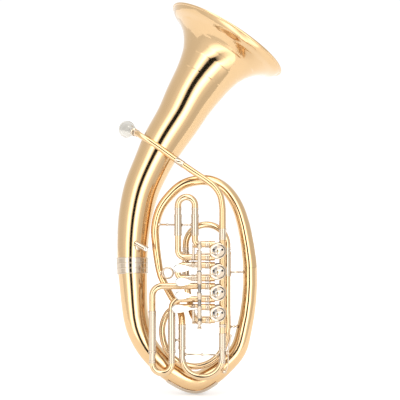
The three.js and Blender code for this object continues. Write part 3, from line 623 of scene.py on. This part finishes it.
def build_fixed_slide_tube(node):
    """A nickel sleeve from the open end, its end ferrules, and the brass crook on to the valve."""
    outer, _ = tube_rings(node)
    sleeve_end = max(outer[0], outer[-1], key=lambda ring: ring[2])
    spine = Spine(outer, sleeve_end[0])
    foot = max(mark for mark, radius in spine.radii if radius > SLEEVE - 0.1 * MM)
    sleeve = shell(spine, 0.2 * MM, foot, SLEEVE, 0.6 * MM)
    lips = [ferrule(spine, 0.0, 6.2 * MM, SLEEVE, 0.7 * MM),
            ferrule(spine, foot - 4 * MM, foot + 0.6 * MM, SLEEVE, 0.6 * MM)]
    make_piece(f"{node}_sleeve", [sleeve, *lips], NICKEL, [node])
    if spine.length - foot <= 4 * MM:
        collar = ferrule(spine, foot - 5 * MM, spine.length + 4 * MM, SLEEVE, 0.9 * MM)
        make_piece(f"{node}_joint", [collar], NICKEL)
    else:
        crook = shell(spine, foot - 1 * MM, spine.length, TUBE, WALL)
        make_piece(f"{node}_crook", [crook], SLIDE_GOLD, [node])
        seat = ferrule(spine, spine.length - 7 * MM, spine.length - 0.1 * MM, TUBE, 0.8 * MM)
        make_piece(f"{node}_seat", [seat], NICKEL)
    return spine


def build_bow(node, shown_leg):
    """The pull-out bow: a brass U with a nickel ferrule on each leg, past the stretch that slides."""
    outer, _ = tube_rings(node)
    spine = Spine(outer)
    body = BODY_OF_NODE[node]
    bend_start = next(mark for mark, tangent in zip(spine.marks, spine.tangents)
                      if tangent.angle(spine.tangents[0]) > 0.02)
    straight = spine.marks[spine.marks.index(bend_start) - 1]
    at = straight - shown_leg
    ends = [(0.0, at), (spine.length - at, spine.length)]
    legs = [shell(spine, start, end, TUBE - 0.1 * MM, WALL) for start, end in ends]
    make_piece(f"{node}_legs", legs, NICKEL, [node], body)
    bend = shell(spine, at - 0.5 * MM, spine.length - at + 0.5 * MM, TUBE, WALL)
    make_piece(f"{node}_crook", [bend], SLIDE_GOLD, [node], body)
    rings = [ferrule(spine, at - 2.5 * MM, at + 3.5 * MM, TUBE, 0.75 * MM),
             ferrule(spine, spine.length - at - 3.5 * MM, spine.length - at + 2.5 * MM, TUBE, 0.75 * MM)]
    make_piece(f"{node}_ferrules", rings, NICKEL, body=body)


SLIDE_TUBES = sorted(node for node in NODES if node.startswith("slide_") and "_tube_" in node)
TUNING_TUBES = ["tuning_tube_right", "tuning_tube_left"]
# How much of each bow's straight legs is brass. The tuning bow's nickel runs on into its bend.
SHOWN_LEGS = {"slide_1_bow": 8, "slide_2_bow": 5, "slide_3_bow": 4, "slide_4_bow": 8, "tuning_bow": -9}
tube_spines = {node: build_fixed_slide_tube(node) for node in SLIDE_TUBES + TUNING_TUBES}
for bow, shown in SHOWN_LEGS.items():
    build_bow(bow, shown * MM)


# Valves, links and levers

def joint_place(name):
    return Vector(JOINTS[name]["pos_m"])


def middle(node):
    low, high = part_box(node)
    return (Vector(low) + Vector(high)) / 2


def valve_centre(valve):
    """Where a valve's axis meets the plane y = 0."""
    cap = middle(f"valve_cap_{valve}")
    return Vector((cap.x, 0, cap.z))


VALVE_CENTRES = {valve: valve_centre(valve) for valve in VALVES}
AXLE = joint_place("lever_1_press")
# The crank pin's offset from the valve's axis, both ways, and the place of the links' far pins.
PIN_OFFSET = 4.243 * MM
LINK_FRONT = 69 * MM
LINK_END = 9.9 * MM


def facing(centre, outline, around=40, closed=False):
    """A part turned about a valve's axis, from (depth toward the levers, radius) points in mm."""
    return lathe(centre, LEVER_SIDE, outline, around, closed)


def ball(centre, radius, around=20):
    outline = [(-radius * cos(pi * t / 10), radius * sin(pi * t / 10)) for t in range(11)]
    return turned(centre, UP, outline, around)


def screw_head(centre, axis, radius, height):
    """A cheese-head screw, and a thin bar across its top for the slot, which is drawn black as painted shade.
    """
    axis, side, up = basis(axis)
    head = turned(centre, axis, [(0, radius), (height * 0.7, radius), (height, radius * 0.82)], 24)
    reach, half = radius * 0.8, radius * 0.13
    # The slot is not cut: this flat bar is coloured black as painted shade in the groove.
    slot_shade = slab([(-reach, -half), (reach, -half), (reach, half), (-reach, half)], centre + axis * height,
                side, up, 0.12 * MM)
    return head, slot_shade


def spoke(turn):
    """A unit direction across a valve's axis."""
    return Vector((cos(turn), 0, sin(turn)))


def build_casing(valve):
    """The drum with its stubs toward the slides and along the valve line, the stop plate, whose dark steel
    colour is painted shade from the crank, and the bumpers.
    """
    centre = VALVE_CENTRES[valve]
    drum = facing(centre, [
        (31.3, 15.6), (31.3, 17.4), (31.7, 17.8), (34, 17.8), (34.4, 17.3), (60.4, 17.3), (60.8, 17.8),
        (63.4, 17.8), (64, 17.5), (64.3, 16.6), (66, 16.4), (66.5, 15.8), (66.5, 13.4), (66.1, 12.7),
        (63.7, 12.5), (63.7, 4.2), (61.4, 4.2), (61, 15.6),
    ], 56, closed=True)
    boss = facing(centre, [(63.5, 3.9), (63.5, 6.4), (64.0, 6.1), (64.0, 3.9)], 32, closed=True)
    port_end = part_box(f"valve_casing_{valve}")[0].x
    line_x = middle("tuning_tube_right").x
    depth, rise = -48 * MM, 14.3 * MM
    ports, knuckles = [], []
    for way in (-1, 1):
        ports.append(lathe((port_end, depth, centre.z + way * rise), RIGHT, [
            (0, 6.4), (0, 7.9), (0.8, 8.2), (4.4, 8.2), (5.2, 7.9), (5.6, 7.3), (14, 7.2), (14, 6.4),
        ], 36, closed=True))
        knuckles.append(lathe((line_x, depth, centre.z), UP * way, [
            (8, 6.5), (8, 7.2), (19.85, 7.2), (20.25, 7.9), (22.85, 7.9), (22.85, 6.5),
        ], 36, closed=True))
    make_piece(f"casing_drum_{valve}", [drum, boss], NICKEL, [f"valve_casing_{valve}"])
    make_piece(f"casing_ports_{valve}", ports, SLIDE_GOLD, [f"valve_casing_{valve}"])
    make_piece(f"casing_knuckles_{valve}", knuckles, GOLD)
    # The stop plate is a real part, but its dark steel colour is painted shade where the crank shades the
    # casing face.
    crescent = arc((0, 0), 11.6, 105, 250, 24) + arc((0, 0), 7.0, 250, 105, 24)
    plate = flat(crescent, centre + LEVER_SIDE * (63.85 * MM), RIGHT, UP, 0.5)
    make_piece(f"stop_plate_painted_shade_{valve}", [plate], STEEL_AND_PLATE_SHADE)
    bumpers = []
    for angle in (18, 162):
        spot = centre + spoke(radians(angle)) * (9.9 * MM)
        bumpers.append(facing(spot, [(63.6, 2.3), (66.6, 2.3), (67.0, 1.9)], 24))
    make_piece(f"stop_bumpers_{valve}", bumpers, BUMPER_AND_SLOT_SHADE)


def build_rear_cap(valve):
    """The screwed cap behind the valve, with a knurled edge."""
    centre = VALVE_CENTRES[valve]
    cap = facing(centre, [
        (28.8, 0), (28.8, 4), (29.0, 5), (28.9, 9), (29.0, 12.4), (29.5, 13.6), (29.7, 15.4), (29.6, 17.6),
        (29.9, 18.4), (30.3, 18.6), (30.6, 18.3), (30.9, 17.6), (30.9, 0),
    ], 64)
    spots = [centre + spoke(turn) * (18.35 * MM) for turn in full_turn(48)]
    ridges = [facing(spot, [(29.75, 0.42), (30.75, 0.42)], 8) for spot in spots]
    make_piece(f"rear_cap_{valve}", [cap, *ridges], NICKEL, [f"valve_cap_{valve}"])


def build_rotor(valve):
    centre = VALVE_CENTRES[valve]
    rotor = facing(centre, [(31.5, 0), (31.5, 14.6), (32, 15.2), (60.4, 15.2), (60.6, 14.8), (60.6, 3.3),
                            (67.0, 3.3), (67.1, 3.0), (67.1, 0)], 40)
    make_piece(f"rotor_core_{valve}", [rotor], NICKEL, [f"valve_rotor_{valve}"], f"rotor_{valve}")


def build_stop_arm(valve):
    """The crank and the stop finger on the rotor's spindle, with its screws."""
    centre = VALVE_CENTRES[valve]
    body = f"rotor_{valve}"
    front, back = 66.6, 64.2
    hub = facing(centre, [(back, 3.6), (back, 5.4), (back + 0.3, 5.7), (front - 0.4, 5.7), (front, 5.2),
                          (front, 3.6)], 36, closed=True)
    pin = centre + Vector((-PIN_OFFSET, 0, -PIN_OFFSET))
    eye = facing(pin, [(back, 0), (back, 3.2), (back + 0.3, 3.4), (front - 0.4, 3.4), (front, 3.0),
                       (front, 0)], 28)
    post = facing(pin, [(front - 0.5, 1.5), (71.3, 1.5), (71.6, 0)], 18)
    across, up = Vector((0.7071, 0, 0.7071)), Vector((-0.7071, 0, 0.7071))
    web = [(-6, -3), (0, -4.6), (0, 4.6), (-6, 3)]
    finger = [(3, -2.4), (9.2, -1.9)]
    finger += [(9.2 + 1.9 * cos(turn), 1.9 * sin(turn)) for turn in (-1.2, -0.6, 0, 0.6, 1.2)]
    finger += [(9.2, 1.9), (3, 2.4)]
    depth = LEVER_SIDE * ((front + back) / 2 * MM)
    plates = [flat(shape, centre + depth, across, up, front - back - 0.3) for shape in (web, finger)]
    crank = [hub, eye, post, *plates]
    make_piece(f"stop_crank_{valve}", crank, SILVER, [f"stop_arm_{valve}"], body, 0.25 * MM)
    head, slot_shade = screw_head(centre + LEVER_SIDE * (67.0 * MM), LEVER_SIDE, 1.9 * MM, 1.5 * MM)
    make_piece(f"rotor_screw_{valve}", [head], BRASS, body=body)
    # The black bar on the screw head is painted shade for its slot.
    make_piece(f"rotor_screw_slot_painted_shade_{valve}", [slot_shade], BUMPER_AND_SLOT_SHADE, body=body)


def build_link(valve):
    """A rod from the crank pin to the lever's pin, with a ball socket at each end."""
    centre = VALVE_CENTRES[valve]
    body = f"link_{valve}"
    near = centre + Vector((-PIN_OFFSET, -LINK_FRONT, -PIN_OFFSET))
    far = Vector((LINK_END, -LINK_FRONT, near.z))
    length = (near.x - far.x) / MM
    socket = lathe(near, BACK, [(-1.6, 1.9), (-1.6, 2.8), (-0.9, 3.3), (0.9, 3.3), (1.6, 2.8), (1.6, 1.9)],
                   28, closed=True)
    shank = lathe(near, -RIGHT, [
        (2.6, 1.7), (5, 1.7), (5.4, 2.1), (8.2, 2.1), (8.6, 1.4), (length - 9, 1.4), (length - 8.6, 2.0),
        (length - 5.4, 2.0), (length - 5, 1.6), (length - 2.8, 1.6),
    ], 20)
    eye = lathe(far, UP, [(-1.5, 2.3), (-1.5, 3.3), (-1.0, 3.7), (1.0, 3.7), (1.5, 3.3), (1.5, 2.3)],
                28, closed=True)
    make_piece(f"link_ball_rod_{valve}", [socket, shank, eye], NICKEL, [f"link_rod_{valve}"], body)


# The ends of each lever's hinge tube and the height of its touch plate, in mm.
HINGE_SPANS = {1: (280, 322.5), 2: (250, 276.5), 3: (217, 230.5), 4: (176, 202)}
LEVER_HEIGHTS = {1: 284.3, 2: 255.1, 3: 225.9, 4: 196.7}


def touch_plate(tip, height):
    """A domed spoon that narrows to a bar at the axle."""
    neck, shoulder = AXLE.x - 16 * MM, tip + 22 * MM
    half, bar_half = 9.2 * MM, 1.9 * MM
    # Each row is a place along the lever, its half width, and its share of the dome.
    rows = [(AXLE.x - 4 * MM, bar_half, 0.0), (AXLE.x - 10 * MM, bar_half, 0.0)]
    for step in range(17):
        t = step / 16
        x = (neck * (1 - t)**3 + 3 * (neck - 6 * MM) * t * (1 - t)**2 + 3 * shoulder * t**2 * (1 - t)
             + (tip + half) * t**3)
        reach = bar_half * ((1 - t)**3 + 3 * t * (1 - t)**2) + half * (3 * t**2 * (1 - t) + t**3)
        rows.append((x, reach, (reach / half)**2))
    for step in range(1, 13):
        turn = pi / 2 * step / 12.4
        rows.append((tip + half - half * sin(turn), half * cos(turn), 1 + 0.2 * sin(turn)))
    around = 28
    front, thick = AXLE.y - 1.7 * MM, 1.8 * MM
    vertices = []
    for x, reach, share in rows:
        dome = 1.1 * MM * share
        for turn in full_turn(around):
            across, lift = cos(turn), sin(turn)
            squared = abs(lift)**0.3 * (1 if lift > 0 else -1)
            depth = front - squared * thick / 2 - dome * (1 - (reach * across / half)**2) - 0.4 * MM
            vertices.append(Vector((x, depth, height + reach * across)))
    return vertices, grid_faces(len(rows), around) + end_faces(len(rows), around)


def build_lever(valve):
    """The hinge tube with the collar at the touch plate, and the crank arm with its upright pin."""
    low, high = HINGE_SPANS[valve]
    node = f"lever_{valve}"
    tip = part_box(node)[0].x
    height = LEVER_HEIGHTS[valve] * MM
    link = VALVE_CENTRES[valve].z - PIN_OFFSET
    length = high - low
    hinge = lathe((AXLE.x, AXLE.y, low * MM), UP, [
        (0, 3.0), (0, 4.8), (0.5, 5.2), (2.2, 5.2), (2.7, 4.6), (length - 2.7, 4.6), (length - 2.2, 5.2),
        (length - 0.5, 5.2), (length, 4.8), (length, 3.0),
    ], 32, closed=True)
    collar = lathe((AXLE.x, AXLE.y, height - 3.6 * MM), UP, [(0, 4.4), (0.4, 5.4), (6.8, 5.4), (7.2, 4.4)])
    start = Vector((AXLE.x, AXLE.y, link + 4.8 * MM))
    toward = Vector((LINK_END, -LINK_FRONT, start.z)) - start
    reach = toward.length / MM
    toward.normalize()
    arm_outline = [(3, -2.3), (19, -2.1)]
    for turn in (-1.4, -0.7, 0, 0.7, 1.4):
        arm_outline.append((reach + 2.3 * cos(turn), 2.3 * sin(turn)))
    arm_outline += [(19, 2.1), (3, 2.3)]
    arm = flat(arm_outline, start, toward, UP.cross(toward), 2.4)
    pin = lathe((LINK_END, -LINK_FRONT, link - 4.5 * MM), UP, [
        (0, 1.1), (0.3, 1.4), (10.2, 1.4), (10.6, 2.0), (11.6, 1.8),
    ], 20)
    make_piece(f"lever_hinge_{valve}", [hinge, collar, arm, pin], NICKEL, [node], node, 0.25 * MM)
    make_piece(f"touch_plate_{valve}", [touch_plate(tip, height)], SILVER, [node], node)


def coil(low, high, radius, wire, turns):
    """A coil spring about the lever axle, from one height to another."""
    steps, around = turns * 20, 8
    vertices = []
    for step in range(steps + 1):
        turn = 2 * pi * turns * step / steps
        out = Vector((cos(turn), sin(turn), 0))
        place = Vector((AXLE.x, AXLE.y, low + (high - low) * step / steps)) + out * radius
        for angle in full_turn(around):
            vertices.append(place + (out * cos(angle) + UP * sin(angle)) * wire)
    return vertices, grid_faces(steps + 1, around) + end_faces(steps + 1, around)


def build_axle():
    """The rod that the levers turn on, a knob at each end, with the springs between the hinge tubes."""
    low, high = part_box("lever_axle")
    length = (high.z - low.z) / MM
    axle = lathe((AXLE.x, AXLE.y, low.z), UP, [
        (0, 0), (0, 3.2), (0.8, 4.6), (2.2, 5.0), (3.8, 4.6), (4.6, 3.4), (5.2, 4.6), (7.0, 4.6), (7.2, 2.6),
        (length - 7.2, 2.6), (length - 7.0, 4.6), (length - 5.2, 4.6), (length - 4.6, 3.4),
        (length - 3.8, 4.6), (length - 2.2, 5.0), (length - 0.8, 4.2), (length, 2.4), (length, 0),
    ])
    make_piece("axle_rod", [axle], NICKEL, ["lever_axle"])
    gaps = [(202.4, 216.6), (230.9, 249.6), (276.9, 279.6), (170.0, 175.6)]
    pitch = 1.5
    springs = [coil(a * MM, b * MM, 3.7 * MM, 0.55 * MM, max(2, round((b - a) / pitch))) for a, b in gaps]
    make_piece("return_springs", springs, STEEL_AND_PLATE_SHADE)


def build_bracket(name, eye_height, stub_low, stub_high, foot_height):
    """An eye on the axle, a short web, and an upright stub with a foot on the tube behind."""
    node = f"axle_bracket_{name}"
    stub = Vector((0.8 * MM, -72 * MM, 0))
    foot_length = (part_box(node)[1].y - stub.y) / MM
    eye = lathe((AXLE.x, AXLE.y, eye_height - 3.5 * MM), UP, [
        (0, 2.9), (0, 4.8), (0.5, 5.2), (6.5, 5.2), (7, 4.8), (7, 2.9),
    ], 32, closed=True)
    web = rod((AXLE.x - 4 * MM, AXLE.y + 1 * MM, eye_height), (stub.x, stub.y, eye_height), 2.6 * MM, 20)
    bottom, top = stub + UP * stub_low, stub + UP * stub_high
    foot = lathe(stub + UP * foot_height, BACK, [
        (0, 2.8), (foot_length - 3, 2.8), (foot_length - 1.4, 3.6), (foot_length - 0.9, 5.6),
        (foot_length, 6.0),
    ], 28)
    parts = [eye, web, rod(bottom, top, 3 * MM, 24), foot, ball(bottom, 3 * MM), ball(top, 3 * MM)]
    make_piece(f"bracket_{name}", parts, NICKEL, [node])


for valve in VALVES:
    build_casing(valve)
    build_rear_cap(valve)
    build_rotor(valve)
    build_stop_arm(valve)
    build_link(valve)
    build_lever(valve)
build_axle()
build_bracket("upper", 331 * MM, 305 * MM, 335 * MM, 306.6 * MM)
build_bracket("lower", 166 * MM, 164 * MM, 200 * MM, 197.2 * MM)


# Braces and small fittings

def long_axis(node):
    """The two ends of a round CAD post, on its axis."""
    places = [vertex.co.copy() for vertex in NODES[node].data.vertices]
    centre = sum(places, Vector()) / len(places)
    axis = max((place - centre for place in places), key=lambda spoke: spoke.length)
    for _ in range(30):
        axis = sum(((place - centre) * (place - centre).dot(axis) for place in places), Vector()).normalized()
    reaches = [(place - centre).dot(axis) for place in places]
    return centre + axis * min(reaches), centre + axis * max(reaches)


def brace_part(start, end, radius=1.9):
    """A post with a flared foot at each end, and a turned bead at its middle if it is long."""
    length = (end - start).length / MM
    half = [(-0.25, 0), (-0.25, 3.9), (0.5, 4.0), (1.1, 3.2), (2.2, 2.2), (3.4, radius)]
    middle_bead = []
    if length > 16:
        centre = length / 2
        half += [(centre - 3, radius), (centre - 2.2, radius * 1.25), (centre - 1, radius * 1.5)]
        middle_bead = [(centre, radius * 1.6)]
    mirrored = [(length - distance, size) for distance, size in reversed(half)]
    return lathe(start, end - start, half + middle_bead + mirrored, 24)


def build_braces():
    """The CAD's braces, and one more between the legs of slide 1."""
    for node in sorted(NODES):
        if node.startswith("brace_"):
            make_piece(f"post_{node}", [brace_part(*long_axis(node))], NICKEL, [node], BODY_OF_NODE[node])
    brace_height = 378 * MM
    legs = []
    for node in ("slide_1_tube_left", "slide_1_tube_right"):
        spine = tube_spines[node]
        legs.append(spine.at(spine.nearest((middle(node).x, -48 * MM, brace_height)))[0])
    inset = (legs[1] - legs[0]).normalized() * SLEEVE
    make_piece("slide_1_leg_brace", [brace_part(legs[0] + inset, legs[1] - inset, 1.5)], NICKEL)


def build_finger_ring():
    low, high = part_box("finger_ring")
    wire, edge = 2.3 * MM, 2.4 * MM
    radius = (high.z - low.z) / 2 - edge
    centre = Vector((high.x - radius - edge, low.y + edge, (low.z + high.z) / 2))
    section = [(wire * sin(turn), radius + wire * cos(turn)) for turn in full_turn(16)]
    ring = turned(centre, BACK, section, 56, closed=True)
    root = Vector((low.x + 1.5 * MM, high.y - 1.5 * MM, centre.z - 1 * MM))
    stem_end = centre + Vector((-radius + 0.4 * MM, 0.6 * MM, 0))
    reach = (stem_end - root).length / MM
    stem = lathe(root, stem_end - root, [
        (-1, 4.6), (0.6, 4.4), (2, 2.6), (reach * 0.6, 2.0), (reach, 2.4),
    ], 24)
    make_piece("finger_ring_loop", [ring, stem], NICKEL, ["finger_ring"])


LYRE_TOP = Vector((-128.7, -31, 338)) * MM
LYRE_FOOT = Vector((-101, -31, 322.4)) * MM
LYRE_FLANGE = Vector((-121.5, -19.8, 330)) * MM
LYRE_POST = (Vector((-121.2, -21, 330)) * MM, Vector((-118.5, -30, 332)) * MM)


def build_lyre_holder():
    """The slanting socket on its post and flange, and the knurled thumbscrew."""
    along = LYRE_FOOT - LYRE_TOP
    length = along.length / MM
    holder = lathe(LYRE_TOP, along, [
        (0, 4.2), (0, 5.8), (0.5, 6.2), (1.8, 6.2), (2.4, 5.5), (length - 9.4, 5.5), (length - 8.8, 6.6),
        (length - 0.8, 6.6), (length, 6.0), (length, 0), (length - 9, 0), (length - 9, 4.2),
    ], 36, closed=True)
    plate = lathe(LYRE_FLANGE, (1, -2.3, 0), [(0, 9), (0.8, 9.2), (1.6, 8.2), (2.4, 6.4)], 36)
    make_piece("lyre_socket", [holder, plate, rod(*LYRE_POST, 3.4 * MM, 20)], NICKEL, ["lyre_holder"])

    low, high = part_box("lyre_screw")
    centre = Vector(((low.x + high.x) / 2, high.y, (low.z + high.z) / 2))
    length = (high.y - low.y) / MM
    stem = lathe(centre, LEVER_SIDE, [
        (0, 1.0), (0.4, 1.3), (length - 4, 1.3), (length - 3.8, 2.4), (length - 3.4, 2.6),
    ], 20)
    rim = [spoke(turn) * (4.35 if step % 2 else 4.0) for step, turn in enumerate(full_turn(48))]
    outline = [(place.x, place.z) for place in rim]
    knob = flat(outline, centre + LEVER_SIDE * (length - 2) * MM, RIGHT, UP, 3.2)
    cap = lathe(centre + LEVER_SIDE * (length - 0.5) * MM, LEVER_SIDE, [(0, 3.6), (0.45, 3.0)], 24)
    make_piece("lyre_thumbscrew", [stem, knob, cap], SILVER, ["lyre_screw"], "lyre_screw")


KEY_ELBOW = Vector((77.4, -47.6, 72)) * MM
KEY_FOOT = Vector((71.6, -47.2, 53.2)) * MM
KEY_THUMB = Vector((83.4, -48, 137)) * MM
KEY_PAD = Vector((64.6, -47.2, 57.2)) * MM


def build_water_key():
    """The mount on the tuning bow, then the key with its thumb end, its cup and the cork in it."""
    pivot = joint_place("water_key_open")
    saddle = "water_key_saddle"
    cheek = [(-3.6, -2.6), (0.6, -2.6)]
    cheek += [(0.6 + 2.6 * sin(turn), -2.6 * cos(turn)) for turn in (0.5, 1, 1.57, 2.1, 2.6)]
    cheek += [(0.6, 2.6), (-3.6, 2.6)]
    cheeks = [flat(cheek, pivot + BACK * (way * 4.3 * MM), RIGHT, UP, 1.8) for way in (-1, 1)]
    base_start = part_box(saddle)[0].x
    half = (pivot.x - 3.1 * MM - base_start) / 2
    high = 4 * MM
    base = slab([(-half, -high), (half, -high), (half, high), (-half, high)],
                (base_start + half, pivot.y, pivot.z), RIGHT, UP, 8.8 * MM)
    pin = lathe(pivot + BACK * (6.2 * MM), LEVER_SIDE, [
        (0, 1.2), (0.3, 1.8), (0.9, 1.8), (1.0, 1.1), (11.4, 1.1), (11.5, 1.8), (12.1, 1.8), (12.4, 1.2),
    ], 20)
    make_piece("water_key_mount", [*cheeks, base, pin], NICKEL, [saddle], BODY_OF_NODE[saddle], 0.3 * MM)

    key = "water_key"
    thick = 1.5 * MM
    collar = lathe(pivot + BACK * (2.8 * MM), LEVER_SIDE, [
        (0, 1.5), (0, 2.3), (0.4, 2.7), (5.2, 2.7), (5.6, 2.3), (5.6, 1.5),
    ], 28, closed=True)
    along = KEY_THUMB - pivot
    upper = rod(pivot, KEY_THUMB - along * 0.12, thick, 20, 2.0 * MM)
    touch = lathe(KEY_THUMB - along * 0.2, along, [
        (0, 1.7), (2, 2.3), (6, 2.6), (7.6, 2.2), (8.2, 1.2), (8.4, 0),
    ], 20)
    lower = [rod(pivot, KEY_ELBOW, thick, 20), ball(KEY_ELBOW, thick), rod(KEY_ELBOW, KEY_FOOT, thick, 20),
             ball(KEY_FOOT, 2.2 * MM)]
    out = (KEY_FOOT - KEY_PAD).normalized()
    cup = lathe(KEY_PAD + out * (2.2 * MM), out, [(0, 3.4), (0.2, 4.4), (3.2, 4.2), (4.6, 2.6), (6.0, 2.0)])
    make_piece("water_key_lever", [collar, upper, touch, *lower, cup], NICKEL, [key], key)
    cork = lathe(KEY_PAD, out, [(0, 3.4), (0.3, 3.8), (2.6, 3.8)])
    make_piece("water_key_pad", [cork], CORK, body=key)


build_braces()
build_finger_ring()
build_lyre_holder()
build_water_key()


# Scene

def build_stage():
    """A pale floor. It stops a little in front of the object, so the tubes mirror the room and not it."""
    reach, front, depth = 14.0, -0.26, CAD_BOX[0].z - 1 * MM
    corners = [(-reach, front), (reach, front), (reach, reach), (-reach, reach)]
    floor_mesh = bpy.data.meshes.new("studio_floor")
    floor_mesh.from_pydata([(x, y, depth) for x, y in corners], [], [[0, 1, 2, 3]])
    paint, tree, shader, link = start_material("studio_floor_paint")
    shader.inputs["Base Color"].default_value = (0.8, 0.8, 0.8, 1)
    shader.inputs["Roughness"].default_value = 0.9
    shader.inputs["Emission Color"].default_value = (1, 1, 1, 1)
    shader.inputs["Emission Strength"].default_value = 0.3
    speckle = socket_node(tree, "ShaderNodeTexNoise", Scale=60.0, Detail=3.0)
    relief = socket_node(tree, "ShaderNodeBump", Strength=0.05, Distance=0.001)
    link(speckle.outputs["Fac"], relief.inputs["Height"])
    link(relief.outputs["Normal"], shader.inputs["Normal"])
    floor_mesh.materials.append(paint)
    floor = put("studio_floor", floor_mesh)


def direction_ramp(tree, driver, stops):
    """A colour ramp of grey values over a 0 to 1 input."""
    ramp = socket_node(tree, "ShaderNodeValToRGB")
    elements = ramp.color_ramp.elements
    while len(elements) < len(stops):
        elements.new(0.5)
    for element, (position, value) in zip(elements, stops):
        element.position = position
        element.color = (value, value, value, 1)
    tree.links.new(driver, ramp.inputs["Fac"])
    return ramp.outputs["Color"]


def by_degrees(stops):
    """Degrees round from the camera's side, left negative, as positions on a ramp."""
    return [(0.5 + degrees / 360, value) for degrees, value in stops]


def build_world():
    """A white room with two tall soft boxes in front and a dark gap between them, which the metal mirrors."""
    world = bpy.data.worlds.new("studio")
    world.use_nodes = True
    tree = world.node_tree
    link = tree.links.new
    place = socket_node(tree, "ShaderNodeTexCoord")
    parts = socket_node(tree, "ShaderNodeSeparateXYZ")
    flip = socket_node(tree, "ShaderNodeMath", operation="MULTIPLY")
    flip.inputs[1].default_value = -1.0
    azimuth = socket_node(tree, "ShaderNodeMath", operation="ARCTAN2")
    turn = socket_node(tree, "ShaderNodeMath", operation="MULTIPLY_ADD")
    turn.inputs[1].default_value = 0.5 / pi
    turn.inputs[2].default_value = 0.5
    rise = socket_node(tree, "ShaderNodeMath", operation="ABSOLUTE")
    mix = socket_node(tree, "ShaderNodeMixRGB")
    link(place.outputs["Generated"], parts.inputs[0])
    link(parts.outputs["Y"], flip.inputs[0])
    link(parts.outputs["X"], azimuth.inputs[0])
    link(flip.outputs[0], azimuth.inputs[1])
    link(azimuth.outputs[0], turn.inputs[0])
    link(parts.outputs["Z"], rise.inputs[0])

    left = [(-180, 1.08), (-110, 0.9), (-80, 0.92), (-54, 1.15), (-32, BOX_LIGHT)]
    gap = [(-27, 1.6), (-21, 1.1), (-19.5, 0.01), (-4, 0.01), (-2.5, 1.2), (3, 1.8)]
    right = [(7, BOX_LIGHT), (15, BOX_LIGHT), (31, 1.15), (50, 0.85), (110, 0.86), (180, 1.08)]
    ceiling = [(-180, 1.08), (-60, 0.95), (-32, 2.2), (31, 2.2), (60, 0.88), (180, 1.08)]
    high_room = direction_ramp(tree, turn.outputs[0], by_degrees(ceiling))
    low_room = direction_ramp(tree, turn.outputs[0], by_degrees(left + gap + right))
    lowness = direction_ramp(tree, rise.outputs[0], [(0.0, 1.0), (0.45, 1.0), (0.95, 0.0)])
    link(lowness, mix.inputs["Fac"])
    link(high_room, mix.inputs["Color1"])
    link(low_room, mix.inputs["Color2"])
    link(mix.outputs["Color"], tree.nodes["Background"].inputs["Color"])
    bpy.context.scene.world = world


def build_camera():
    """A long lens straight in front, framed as in the photo."""
    distance, view_width = 3.0, 0.8944
    low, high = CAD_BOX
    camera = bpy.data.cameras.new("camera")
    camera.lens = camera.sensor_width * distance / view_width
    eye = put("camera", camera)
    eye.location = ((low.x + high.x) / 2 + 2 * MM, -distance, (low.z + high.z) / 2 - 6.1 * MM)
    eye.rotation_euler = (radians(90), 0, 0)
    bpy.context.scene.camera = eye


def build_lamp():
    """One large soft lamp overhead."""
    light = bpy.data.lights.new("overhead", "AREA")
    light.shape = "RECTANGLE"
    light.size, light.size_y, light.energy = 2.4, 1.6, 12
    lamp = put("overhead", light)
    lamp.location = (0.2, -0.6, 3.0)
    lamp.rotation_euler = (Vector((0, 0, 0.4)) - lamp.location).to_track_quat("-Z", "Y").to_euler()


build_stage()
build_world()
build_camera()
build_lamp()
bpy.context.scene.view_settings.view_transform = "Standard"
